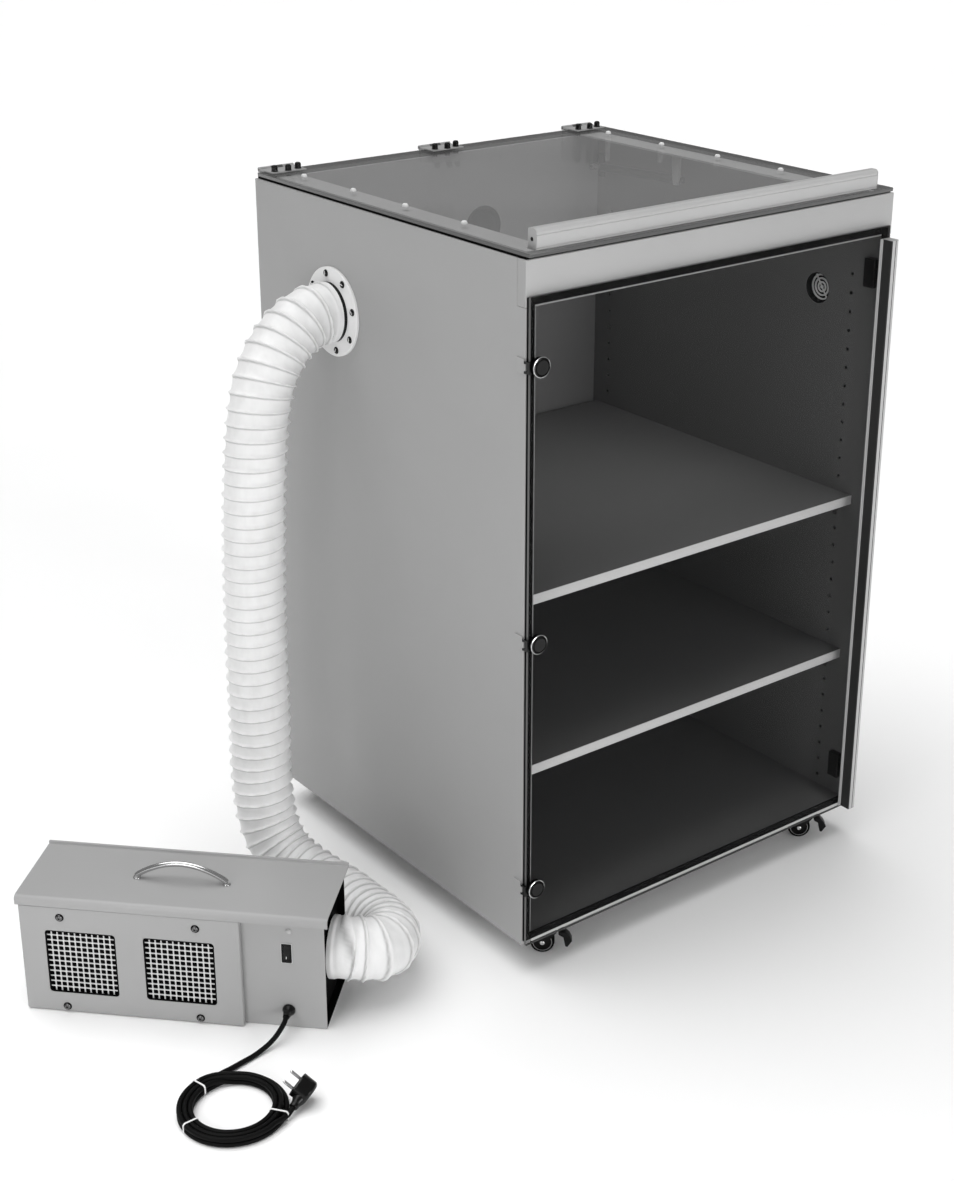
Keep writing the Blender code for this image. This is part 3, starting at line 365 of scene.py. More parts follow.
def turned_shape(profile, steps=64):
    """Pairs of (radius, height) turned about Z; an open profile must start and end on the axis."""
    build = bmesh.new()
    rings = []
    for radius, height in profile:
        turns = [2 * math.pi * i / steps for i in range(steps if radius > 0 else 1)]
        rings.append([build.verts.new((radius * math.cos(turn), radius * math.sin(turn), height))
                      for turn in turns])
    pairs = list(zip(rings, rings[1:]))
    if all(radius > 0 for radius, _ in profile):
        pairs.append((rings[-1], rings[0]))
    for a, b in pairs:
        for i in range(steps):
            j = (i + 1) % steps
            corners = [a[i % len(a)], a[j % len(a)], b[j % len(b)], b[i % len(b)]]
            corners = [c for k, c in enumerate(corners) if c is not corners[k - 1]]
            if len(corners) > 2:
                build.faces.new(corners)
    return build


def turned(profile, steps=64):
    return to_mesh(turned_shape(profile, steps))


def cylinder_shape(radius, low, high, steps=24):
    return turned_shape([(0, low), (radius, low), (radius, high), (0, high)], steps)


def drill(mesh, radius, low, high, matrix, steps=64):
    """The mesh with a round hole between two heights on the matrix's Z axis."""
    tool = cylinder_shape(radius, low, high, steps)
    tool.transform(matrix)
    return cut(mesh, tool)


def repaint(made, material, test):
    """Gives the faces that pass a test another finish."""
    made.data.materials.append(MATERIALS[material])
    for face in made.data.polygons:
        if test(face):
            face.material_index = len(made.data.materials) - 1


def rounded_profile(corners, radius, steps=3):
    """Rounds the inner corners of an open profile of (radius, height) pairs."""
    out = [corners[0]]
    for a, b, c in zip(corners, corners[1:], corners[2:]):
        a, b, c = Vector(a), Vector(b), Vector(c)
        reach = min(radius, (b - a).length * 0.45, (c - b).length * 0.45)
        start, end = b + (a - b).normalized() * reach, b + (c - b).normalized() * reach
        for i in range(steps + 1):
            t = i / steps
            out.append(tuple(start * (1 - t) ** 2 + b * 2 * t * (1 - t) + end * t ** 2))
    return out + [corners[-1]]


def join(builds):
    """One mesh from several shapes, each given with its matrix."""
    whole = bmesh.new()
    for build, matrix in builds:
        bmesh.ops.recalc_face_normals(build, faces=build.faces)
        build.transform(matrix)
        part = bpy.data.meshes.new("part")
        build.to_mesh(part)
        build.free()
        whole.from_mesh(part)
        bpy.data.meshes.remove(part)
    return whole


def cut(mesh, tool):
    """The mesh after one exact Boolean with a shape."""
    body = bpy.data.objects.new("body", mesh)
    other = bpy.data.objects.new("tool", to_mesh(tool, "tool"))
    for made in (body, other):
        show(made)
    step = body.modifiers.new("cut", "BOOLEAN")
    step.operation = "DIFFERENCE"
    step.object = other
    step.solver = "EXACT"
    step.use_self = False
    graph = bpy.context.evaluated_depsgraph_get()
    result = bpy.data.meshes.new_from_object(body.evaluated_get(graph))
    for made in (body, other):
        data = made.data
        bpy.data.objects.remove(made)
        bpy.data.meshes.remove(data)
    return result


def arc(centre, radius, start, end, count):
    out = []
    for i in range(count + 1):
        angle = math.radians(start + (end - start) * i / count)
        out.append((centre[0] + radius * math.cos(angle), centre[1] + radius * math.sin(angle)))
    return out


def rounded_rectangle(low, high, radius, count=6):
    (a0, b0), (a1, b1) = low, high
    centres = ((a1 - radius, b0 + radius), (a1 - radius, b1 - radius),
               (a0 + radius, b1 - radius), (a0 + radius, b0 + radius))
    return [point for quarter, centre in enumerate(centres)
            for point in arc(centre, radius, 90 * quarter - 90, 90 * quarter, count)]


def band_shape(outer, inner, low, high):
    """A closed band between two outlines with as many points each, run along Y."""
    n = len(outer)
    points = [(a, c, b) for c in (low, high) for ring in (outer, inner) for a, b in ring]
    faces = []
    for i in range(n):
        j = (i + 1) % n
        faces += [(i, j, n + j, n + i), (2 * n + i, 2 * n + j, 3 * n + j, 3 * n + i),
                  (i, j, 2 * n + j, 2 * n + i), (n + i, n + j, 3 * n + j, 3 * n + i)]
    build = bmesh.new()
    add_faces(build, points, faces)
    return build


def smooth_route(points, spacing):
    """Evenly spaced points along a smooth curve through the given ones."""
    points = [Vector(p) for p in points]
    ends = [2 * points[0] - points[1]] + points + [2 * points[-1] - points[-2]]
    fine = []
    for a, b, c, d in zip(ends, ends[1:], ends[2:], ends[3:]):
        for i in range(24):
            t = i / 24
            fine.append(0.5 * ((2 * b) + (c - a) * t + (2 * a - 5 * b + 4 * c - d) * t ** 2
                               + (3 * b - a - 3 * c + d) * t ** 3))
    fine.append(points[-1])
    return evenly(fine, spacing)


def path_length(points):
    return sum((q - p).length for p, q in zip(points, points[1:]))


def evenly(fine, spacing):
    total = path_length(fine)
    count = max(2, round(total / spacing))
    out, walked, target = [fine[0]], 0.0, total / count
    for p, q in zip(fine, fine[1:]):
        step = (q - p).length
        while walked + step >= target and len(out) < count:
            out.append(p.lerp(q, (target - walked) / step))
            target += total / count
        walked += step
    return out + [fine[-1]]


def sweep(points, radius_at, around):
    """A tube along points whose radius may change along and round it, on frames that don't twist."""
    build = bmesh.new()
    rings, side, walked = [], None, 0.0
    for i, point in enumerate(points):
        ahead = points[min(i + 1, len(points) - 1)] - points[max(i - 1, 0)]
        ahead.normalize()
        if side is None:
            side = ahead.orthogonal().normalized()
        side = (side - ahead * side.dot(ahead)).normalized()
        other = ahead.cross(side)
        if i:
            walked += (point - points[i - 1]).length
        ring = []
        for k in range(around):
            angle = 2 * math.pi * k / around
            out = side * math.cos(angle) + other * math.sin(angle)
            ring.append(build.verts.new(point + out * radius_at(walked, angle, point, out)))
        rings.append(ring)
    for a, b in zip(rings, rings[1:]):
        for k in range(around):
            j = (k + 1) % around
            build.faces.new((a[k], a[j], b[j], b[k]))
    build.faces.new(rings[0])
    build.faces.new(rings[-1])
    return build


def unit_point(u, v, z):
    return UNIT @ Vector((u, v, z))


# ---------------------------------------------------------------- cords: duct and mains lead

def duct_route():
    """From the wall's collar down behind the unit, along the floor and round into its end."""
    mouth, straight = UNIT_LENGTH - END_RECESS + 0.0083, 0.018
    start = (-COLLAR_OUT - GAP, DUCT_Y, DUCT_Z)
    route = [(start[0] - straight, DUCT_Y, DUCT_Z), (-0.06, 0.49, 0.979), (-0.098, 0.487, 0.954),
             (-0.132, 0.483, 0.912), (-0.154, 0.479, 0.85), (-0.169, 0.476, 0.74),
             (-0.177, 0.476, 0.6), (-0.18, 0.477, 0.45), (-0.181, 0.476, 0.32),
             (-0.184, 0.474, 0.22), (-0.183, 0.46, 0.135), (-0.174, 0.422, 0.082),
             (-0.158, 0.359, 0.06), (-0.147, 0.29, 0.0565), (-0.148, 0.228, 0.0585),
             (-0.154, 0.168, 0.067), (-0.174, 0.117, 0.08), (-0.214, 0.089, 0.092)]
    points = [at(*p) for p in route] + [unit_point(mouth + straight, AXIS_V, AXIS_Z)]
    fine = smooth_route(points, 0.004)
    return evenly([at(*start)] + fine + [unit_point(mouth, AXIS_V, AXIS_Z)], 0.0016)


def make_duct():
    """White fabric over a wire helix, drawn in between the wire's turns and plain at both ends."""
    points = duct_route()
    length = path_length(points)
    rib_shade = []

    def radius(walked, angle, point, out):
        turn = walked / RIB_PITCH - angle / (2 * math.pi)
        phase = turn - math.floor(turn)
        near_wire = min(phase, 1 - phase) * RIB_PITCH
        wire = RIB_CREST * math.exp(-(near_wire / 0.0014) ** 2)
        sag = RIB_SAG * math.sin(math.pi * phase) ** 0.6
        slack = (0.0011 * noise.noise(point * 26 + out * 1.3)
                 + 0.0006 * noise.noise(point * 95 + out * 2.7))
        ribbed = max(0.0, min(1.0, (min(walked, length - walked) / CUFF - 0.6) * 3))
        # Painted shade under each rib: down to half as bright in a thin line beside the wire, faded out
        # at the plain ends.
        under = math.exp(-((phase * RIB_PITCH - 0.0027) / 0.0011) ** 2)
        rib_shade.append(1 - 0.5 * under * ribbed)
        return (DUCT_RADIUS - 0.0006 + slack * math.sin(math.pi * phase) + (wire - sag) * ribbed
                - 0.0014 * (1 - ribbed))

    mesh = to_mesh(sweep(points, radius, 44))
    colour = mesh.color_attributes.new("rib_shade", "FLOAT_COLOR", "POINT")
    for spot, value in zip(colour.data, rib_shade):
        spot.color = (value, value, value, 1)
    made = piece("flexible_duct", mesh, "duct", replaces=("duct",), smooth=60)


def coil_points():
    """The wound middle of the lead, counter-clockwise: in along the floor, out over it."""
    turns = [(radius, COIL_LAYERS[0]) for radius in COIL_TURN_RADII]
    turns += [(radius, COIL_LAYERS[1]) for radius in reversed(COIL_TURN_RADII)]
    first, last, steps = 96.0, 292.0 + 360 * 5, 40
    total = int((last - first) / 360 * steps)
    out = []
    for i in range(total + 1):
        turned_by = (last - first) * i / total
        whole = int(turned_by // 360)
        part = turned_by / 360 - whole
        radius, height = turns[whole]
        after = turns[min(whole + 1, len(turns) - 1)]
        blend = max(0.0, (part - 0.88) / 0.12)
        blend = blend * blend * (3 - 2 * blend)
        radius += (after[0] - radius) * blend
        height += (after[1] - height) * blend
        angle = math.radians(first + turned_by)
        out.append(at(COIL[0] + radius * math.cos(angle), COIL[1] + radius * math.sin(angle), height))
    return out


def make_lead():
    """Mains lead from the gland along the floor, round the coil and up to the plug."""
    low = LEAD_RADIUS + 0.0003
    first = [unit_point(SWITCH_U, COVER_DEPTH - 0.0203, GLAND_Z),
             unit_point(SWITCH_U, COVER_DEPTH - 0.034, 0.0296)]
    first += [at(*p) for p in ((-0.403, 0.0838, 0.017), (-0.4205, 0.0815, 0.0085), (-0.4448, 0.078, low),
                               (-0.4675, 0.0748, low), (-0.49, 0.072, low), (-0.514, 0.07, low))]
    coil = coil_points()
    neck = plug_matrix() @ Vector((-0.0325, -0.003, 0))
    before = plug_matrix() @ Vector((-0.045, -0.003, 0.0005))
    last = [coil[-1].lerp(before, 0.5) + Vector((0, -0.0012, 0)), before, neck]
    points = smooth_route(first + coil[2:] + last, 0.0036)
    data = bpy.data.curves.new("mains_cable", "CURVE")
    data.dimensions = "3D"
    data.bevel_depth = LEAD_RADIUS
    data.bevel_resolution = 4
    data.use_fill_caps = True
    spline = data.splines.new("POLY")
    spline.points.add(len(points) - 1)
    for target, point in zip(spline.points, points):
        target.co = (*point, 1)
    spline.use_smooth = True
    made = piece("mains_cable", data, "lead", replaces=("mains_lead", "mains_coil"))
    others = [*make_plug(), *make_ties()]


def plug_matrix():
    return Matrix.Translation(at(*PLUG)) @ Euler(PLUG_LEAN).to_matrix().to_4x4()


def make_plug():
    """Earthed round plug leaning on its back's edge, its pins raised and its neck to the coil."""
    matrix = plug_matrix()
    body = rounded_profile([(0, -0.013), (0.015, -0.013), (PLUG_RADIUS, -0.0095), (PLUG_RADIUS, 0.012),
                            (0.0178, 0.012), (0.0178, 0.0105), (0, 0.0105)], 0.0018)
    neck = rounded_profile([(0, 0), (0.0105, 0.0), (0.01, 0.017), (0.0072, 0.024), (0.007, 0.0252),
                            (0.0064, 0.0256), (0.0064, 0.027), (0.0068, 0.0274), (0.0062, 0.0318),
                            (0, 0.0318)], 0.0008)
    parts = [(turned_shape(body), Z_TO_BACK), (turned_shape(neck, 40), shift(0, -0.003, 0) @ Z_TO_LEFT)]
    made = piece("plug_body", parts, "gloss", "cabinet", matrix, ("mains_plug",))
    pin = rounded_profile([(0, 0.008), (0.0024, 0.008), (0.0024, 0.029), (0.0015, 0.031), (0, 0.031)],
                          0.0006)
    pins = [(turned_shape(pin, 20), shift(side * 0.0095, 0, 0) @ Z_TO_BACK) for side in (-1, 1)]
    return made, piece("plug_pins", pins, "steel", matrix=matrix)


def make_ties():
    """Three white ties round the coil's bundle; the last one also takes in the lead's tail."""
    made = []
    middle = (COIL_TURN_RADII[0] + COIL_TURN_RADII[2]) / 2
    wide, tall = COIL_TURN_RADII[0] - middle + LEAD_RADIUS + 0.0007, 0.0164
    spots = ((-0.55, 0.0546, 0), (-0.6053, -0.0094, 0), (-0.4911, -0.0645, 0.004))
    for number, (x, y, more) in enumerate(spots):
        angle = math.atan2(y - COIL[1], x - COIL[0])
        low, high = middle - wide, middle + wide + more
        outer = rounded_rectangle((low, 0.0001), (high, tall + 0.001), 0.0045)
        inner = rounded_rectangle((low + 0.0007, 0.0004), (high - 0.0007, tall + 0.0003), 0.004)
        band = to_mesh(band_shape(outer, inner, -0.0013, 0.0013))
        matrix = Matrix.Translation(at(*COIL, 0)) @ Matrix.Rotation(angle, 4, "Z")
        made.append(piece(f"cable_tie_{number + 1}", band, "tie", matrix=matrix))
    return made


# ---------------------------------------------------------------- cabinet

def pin_holes(face, inward):
    """Cutter for the two columns of shelf-pin holes in a side panel's inner face."""
    turn = Z_TO_RIGHT if inward > 0 else Z_TO_LEFT
    return join([(cylinder_shape(HOLE_RADIUS, -0.002, HOLE_DEPTH, 14),
                  shift(face, column, HOLE_START + HOLE_PITCH * k) @ turn)
                 for column in HOLE_COLUMNS for k in range(HOLES)])


def side_panel(name, node, left, hole, inner_face, inward):
    """A side panel with its notch for the rail, its round opening and its shelf-pin holes."""
    notch_y, notch_z = PANEL + GAP, TOP - RAIL_HEIGHT - GAP
    outline = [(0, BOTTOM), (DEPTH, BOTTOM), (DEPTH, TOP),
               (notch_y, TOP), (notch_y, notch_z), (0, notch_z)]
    mesh = prism(outline, "X", left, left + PANEL, width=0.0016, segments=3)
    centre, radius = hole
    mesh = drill(mesh, radius, -0.05, 0.05, shift(left + PANEL / 2, *centre) @ Z_TO_RIGHT)
    mesh = cut(mesh, pin_holes(inner_face, inward))
    made = piece(name, mesh, "laminate", matrix=CABINET, replaces=(node,))
    # Painted shade: the inner face takes the darker copy of the laminate.
    repaint(made, "inside", lambda face: face.normal.x * -inward > 0.9)
    repaint(made, "well", lambda face: in_pin_hole(face.center, inner_face))


def in_pin_hole(spot, inner_face):
    inside = 0.0002 < abs(spot.x - inner_face) < PANEL - 0.001
    aside = min(abs(spot.y - column) for column in HOLE_COLUMNS)
    return inside and HOLE_START - 0.01 < spot.z and aside < 0.004


def board(name, node, low, high, material="laminate", width=0.0012):
    return piece(name, box(low, high, width, 3), material, "cabinet", CABINET, (node,))


def shelf(name, node, hole):
    """Shelf board, dark for painted shade, with a front edge painted pale for light, and four supports
    under it.
    """
    low = HOLE_START + HOLE_PITCH * hole + SHELF_LIFT
    left, right, front, back = PANEL + 0.0012, WIDTH - PANEL - 0.0012, 0.024, DEPTH - PANEL - 0.01
    # The whole shelf board takes the darker copy of the laminate: painted shade.
    board(name, node, (left, front + 0.0012, low), (right, back, low + SHELF_THICK), "inside")
    # Painted light: the shelf's front edge is painted near white.
    band = box((left, front, low), (right, front + 0.0011, low + SHELF_THICK), 0.0005)
    piece(name + "_edge", band, "edge", matrix=CABINET)
    stud = rounded_profile([(0, -0.01), (0.0023, -0.01), (0.0023, 0.0002), (0.0046, 0.0002),
                            (0.0046, 0.0016), (0, 0.0016)], 0.0003)
    parts = []
    for x, inward, turn in ((PANEL, 1, Z_TO_RIGHT), (WIDTH - PANEL, -1, Z_TO_LEFT)):
        for y in HOLE_COLUMNS:
            parts.append((turned_shape(stud, 24), shift(x, y, low - SHELF_LIFT) @ turn))
            for near, far, foot in ((0.0016, 0.003, 0.0285), (0.0031, 0.0125, 0.002)):
                a, b = sorted((x + inward * near, x + inward * far))
                plate = box_shape((a, y - 0.005, low - foot), (b, y + 0.005, low - 0.0004), 0.0004)
                parts.append((plate, HERE))
    piece(name + "_supports", parts, "steel", matrix=CABINET)


def make_body():
    side_panel("side_left", "left_panel", 0.0, ((DUCT_Y, DUCT_Z), 0.0495), PANEL, -1)
    side_panel("side_right", "right_panel", WIDTH - PANEL, (VENT, 0.0265), WIDTH - PANEL, 1)
    inner_left, inner_right = PANEL + GAP, WIDTH - PANEL - GAP
    mesh = box((inner_left, DEPTH - PANEL, BOTTOM), (inner_right, DEPTH, TOP), 0.0012, 3)
    mesh = drill(mesh, PORT_RADIUS, -0.05, 0.05, shift(PORT[0], DEPTH - PANEL / 2, PORT[1]) @ Z_TO_FRONT)
    made = piece("back_board", mesh, "laminate", "cabinet", CABINET, ("back_panel",))
    # Painted shade: the back board's inner face takes a darker copy of the laminate.
    repaint(made, "back", lambda face: face.normal.y < -0.9)
    made = board("base_board", "base_panel", (inner_left, 0, BOTTOM),
                 (inner_right, DEPTH - PANEL - GAP, BOTTOM + 0.018))
    # Painted shade: the base's top takes the darker copy of the laminate.
    repaint(made, "inside", lambda face: face.normal.z > 0.9)
    # Painted light: the base's front edge takes the near-white edge finish.
    repaint(made, "edge", lambda face: face.normal.y < -0.9)
    # Painted light: the rail's front, top and bottom take the lighter copy of the laminate; its ends
    # keep the plain one.
    made = board("rail_board", "front_rail", (0, 0, TOP - RAIL_HEIGHT), (WIDTH, PANEL, TOP), "rail",
                 0.0007)
    repaint(made, "laminate", lambda face: abs(face.normal.x) > 0.9)
    shelf("shelf_upper", "upper_shelf", 16)
    shelf("shelf_lower", "lower_shelf", 7)


def make_flange():
    """White ring screwed to the wall, and the dark collar that carries the duct."""
    matrix = CABINET @ shift(0, DUCT_Y, DUCT_Z) @ Z_TO_LEFT
    ring = [(0.0482, GAP), (FLANGE_RADIUS, GAP), (FLANGE_RADIUS, 0.004), (FLANGE_RADIUS - 0.001, 0.0052),
            (0.0505, 0.0056), (0.049, 0.0064), (0.0482, 0.006)]
    piece("duct_ring", turned(ring, 96), "white", "cabinet", matrix, ("duct_flange",))
    collar = [(0.044, -PANEL), (0.0478, -PANEL), (0.0478, COLLAR_OUT - 0.001), (0.047, COLLAR_OUT),
              (0.0448, COLLAR_OUT), (0.044, COLLAR_OUT - 0.001)]
    piece("duct_collar", turned(collar, 96), "black_steel", matrix=matrix)
    heads, slots = [], []
    circle, face = 0.0622, 0.005
    for k in range(8):
        angle = math.radians(11 + 45 * k)
        spot = shift(circle * math.cos(angle), circle * math.sin(angle), face)
        spot = spot @ Matrix.Rotation(math.radians(37 * k), 4, "Z")
        heads.append((screw_head(0.006, 0.003), spot))
        slots.append((box_shape((-0.0038, -0.0006, 0.0012), (0.0038, 0.0006, 0.0033), 0.0001), spot))
    piece("duct_ring_screws", heads, "gloss", matrix=matrix)
    piece("duct_ring_screw_slots", slots, "white", matrix=matrix)


def screw_head(radius, tall):
    """Domed screw head standing on z = 0 with a round socket in its top."""
    dome = [(0, 0.0), (radius, 0.0)]
    for i in range(1, 7):
        angle = math.radians(15 * i)
        dome.append((radius * (0.35 + 0.65 * math.cos(angle)), tall * math.sin(angle)))
    dome += [(radius * 0.33, tall * 0.98), (radius * 0.3, tall * 0.45), (0, tall * 0.4)]
    return turned_shape(dome, 32)


def ring_shape(inside, outside, low, high, steps=96):
    edge = 0.0004
    return turned_shape([(inside, low), (outside, low), (outside, high - edge), (outside - edge, high),
                         (inside + edge, high), (inside, high - edge)], steps)


def make_vent():
    """Round vent set deep in the right wall's hole: thin rings on one slanted bar before black cloth."""
    matrix = CABINET @ shift(WIDTH - PANEL, *VENT) @ Z_TO_LEFT
    # Painted shade: a black lining on the hole's wall, which lies in shadow.
    lining = [(0.0252, -0.0165), (0.0262, -0.0165), (0.0262, -0.0004), (0.0258, 0.0), (0.0252, -0.0004)]
    piece("vent_shade_lining", turned(lining, 96), "rubber", matrix=matrix)
    parts = [(cylinder_shape(0.0028, VENT_DEEP, VENT_DEEP + 0.0024, 40), HERE)]
    for middle in (0.008, 0.0144, 0.0208):
        parts.append((ring_shape(middle - 0.0013, middle + 0.0013, VENT_DEEP, VENT_DEEP + 0.0022), HERE))
    bar = box_shape((-0.024, -0.0012, VENT_DEEP + 0.0002), (0.024, 0.0012, VENT_DEEP + 0.0018), 0.0004)
    parts.append((bar, Matrix.Rotation(math.radians(35), 4, "Z")))
    # The rings take the near-white edge finish, painted light for the bright outside seen through the
    # vent.
    piece("vent_grid", parts, "edge", "cabinet", matrix, ("side_vent",))
    cloth = rounded_profile([(0, VENT_DEEP - 0.003), (0.025, VENT_DEEP - 0.003),
                             (0.025, VENT_DEEP - 0.0006), (0, VENT_DEEP - 0.0004)], 0.0005)
    piece("vent_cloth", turned(cloth), "media", matrix=matrix)


def make_port_cover():
    """Round cap in the back board's cable port, with a notch for cables."""
    matrix = CABINET @ shift(PORT[0], DEPTH - PANEL, PORT[1]) @ Z_TO_FRONT
    plug = PORT_RADIUS - 0.0008
    profile = rounded_profile([(0, -0.01), (plug, -0.01), (plug, GAP), (0.039, GAP),
                               (0.038, 0.0032), (0.03, 0.0035), (0.0285, 0.0026), (0, 0.0026)], 0.0008)
    mesh = cut(turned(profile, 96), box_shape((-0.012, -0.06, -0.03), (0.012, -0.012, 0.03)))
    piece("port_cap", mesh, "plastic", "cabinet", matrix, ("cable_port_cover",))


def grip_outline(tall):
    """Section of an aluminium grip: a foot, a wall with two grooves and a round nose."""
    wide, sunk, step = GRIP_WIDE, GRIP_WIDE - GRIP_LINE, tall - DOOR_GRIP_TALL
    side = [(wide, 0), (wide, 0.0022), (sunk, 0.0026), (sunk, 0.0034), (wide, 0.0038),
            (wide, 0.0128 + step), (sunk, 0.0132 + step), (sunk, 0.0142 + step), (wide, 0.0146 + step)]
    front, back = grip_corners(tall)
    groove = [(0.0088, tall), (0.0084, tall - GRIP_LINE), (0.0074, tall - GRIP_LINE), (0.007, tall)]
    foot = [(0, 0.003), (-0.0008, 0.0022), (-0.0036, 0.002), (-0.004, 0.0014), (-0.004, 0)]
    return side + front + groove + back + foot


def grip_corners(tall):
    return (arc((GRIP_WIDE - GRIP_NOSE, tall - GRIP_NOSE), GRIP_NOSE, 0, 90, 8),
            arc((GRIP_INNER, tall - GRIP_INNER), GRIP_INNER, 90, 180, 5))


def make_door():
    low, high = (DOOR_LEFT, DOOR_FRONT, DOOR_BOTTOM), (DOOR_RIGHT, DOOR_BACK, DOOR_TOP)
    # The door sheet's dark veil paints shade over the cabinet's inside.
    pane("door_sheet", "door_pane", low, high, "Y", "door", "door_clear_shade_veil", HINGE_HEIGHTS)
    face = DOOR_FRONT - GAP
    outline = [(0.7185 + a, face - b) for a, b in grip_outline(DOOR_GRIP_TALL)]
    mesh = prism(outline, "Z", 0.063, 1.093)
    made = piece("door_grip", mesh, "profile", "door", CABINET, ("door_handle",), 30)
    # Painted shade: the grip's inner side, facing the door's middle, is painted near black.
    repaint(made, "groove", lambda side: side.normal.x < -0.6 and side.center.y < face - 0.0035)
    dome = rounded_profile([(0, 0.0002), (0.0144, 0.0002), (0.0144, 0.008), (0.0128, 0.0101),
                            (0.0112, 0.0104), (0.0106, 0.0099), (0, 0.0099)], 0.0009)
    # A thin bright steel ring round each cap's rim stands in for its rim highlight.
    ring = [(0.01445, 0.006), (0.0153, 0.0064), (0.0153, 0.008), (0.01445, 0.0084)]
    for number, height in enumerate(HINGE_HEIGHTS):
        place = CABINET @ (shift(HINGE_X, face, height) @ Z_TO_FRONT)
        piece(f"door_cap_dome_{number + 1}", turned(dome), "rubber", "door", place)
        piece(f"door_cap_highlight_ring_{number + 1}", turned(ring), "steel", "door", place)


def pane(name, node, low, high, axis, body, material, holes=()):
    """Clear sheet with polished edges in their own finish."""
    mesh = box(low, high, 0.0007, 2)
    for height in holes:
        mesh = drill(mesh, 0.0043, -0.03, 0.03, shift(HINGE_X, 0, height) @ Z_TO_FRONT, 32)
    made = piece(name, mesh, material, body, CABINET, (node,))
    facing = "XYZ".index(axis)
    repaint(made, "pane_edge", lambda face: abs(face.normal[facing]) < 0.9)


def make_lid():
    low, high = (LID_LEFT, LID_FRONT, LID_BOTTOM), (LID_RIGHT, LID_BACK, LID_TOP)
    # The lid sheet's pale veil is a painted reflection of the bright room.
    pane("lid_sheet", "lid_pane", low, high, "Z", "lid", "lid_clear_glare_veil")
    face, edge, left, right, cap = LID_TOP + GAP, 0.0215, 0.02, 0.7135, 0.0012
    outline = [(edge - a, face + b) for a, b in grip_outline(LID_GRIP_TALL)]
    mesh = prism(outline, "X", 0.0215, 0.712)
    piece("lid_grip", mesh, "profile", "lid", CABINET, ("lid_handle",), 30)
    nose, back = grip_corners(LID_GRIP_TALL)
    outline = [(edge - a, face + b) for a, b in [(GRIP_WIDE, 0), *nose, *back, (0, 0)]]
    ends = [(prism_shape(outline, "X", low, high, 0.0003), HERE)
            for low, high in ((left, left + cap), (right - cap, right))]
    piece("lid_grip_ends", ends, "paint", "lid", CABINET)
    heads = [(screw_head(0.003, 0.0008), shift(x, 0.0125, LID_TOP + 0.015) @ turn)
             for x, turn in ((left, Z_TO_LEFT), (right, Z_TO_RIGHT))]
    piece("lid_grip_end_screws", heads, "black_steel", "lid", CABINET)
    heads = [(screw_head(0.005, 0.0046), shift(x, y, LID_TOP + 0.0001))
             for x in (0.0435, 0.697) for y in (0.2, 0.35, 0.492, 0.636)]
    piece("lid_strip_screws", heads, "white", "lid", CABINET)
    cap_nut = rounded_profile([(0, 0), (0.0058, 0), (0.0058, 0.001), (0.0052, 0.001), (0.0052, 0.0076),
                               (0.0036, 0.01), (0, 0.0106)], 0.0008)
    bolts = []
    for middle in LID_HINGES:
        for aside, y in ((-0.0225, 0.694), (0.0, 0.688), (0.0225, 0.694)):
            x = middle + aside
            bolts.append((turned_shape(cap_nut, 32), shift(x, y, face + 0.0019)))
            bolts.append((cylinder_shape(0.0048, -0.004, -0.0001, 6), shift(x, y, LID_BOTTOM)))
    piece("lid_hinge_bolts", bolts, "gloss", "lid", CABINET)


# ---------------------------------------------------------------- castors

def mirrored(half):
    """A closed profile from its half above z = 0 and that half's mirror image."""
    return [(radius, -height) for radius, height in half] + half[::-1]


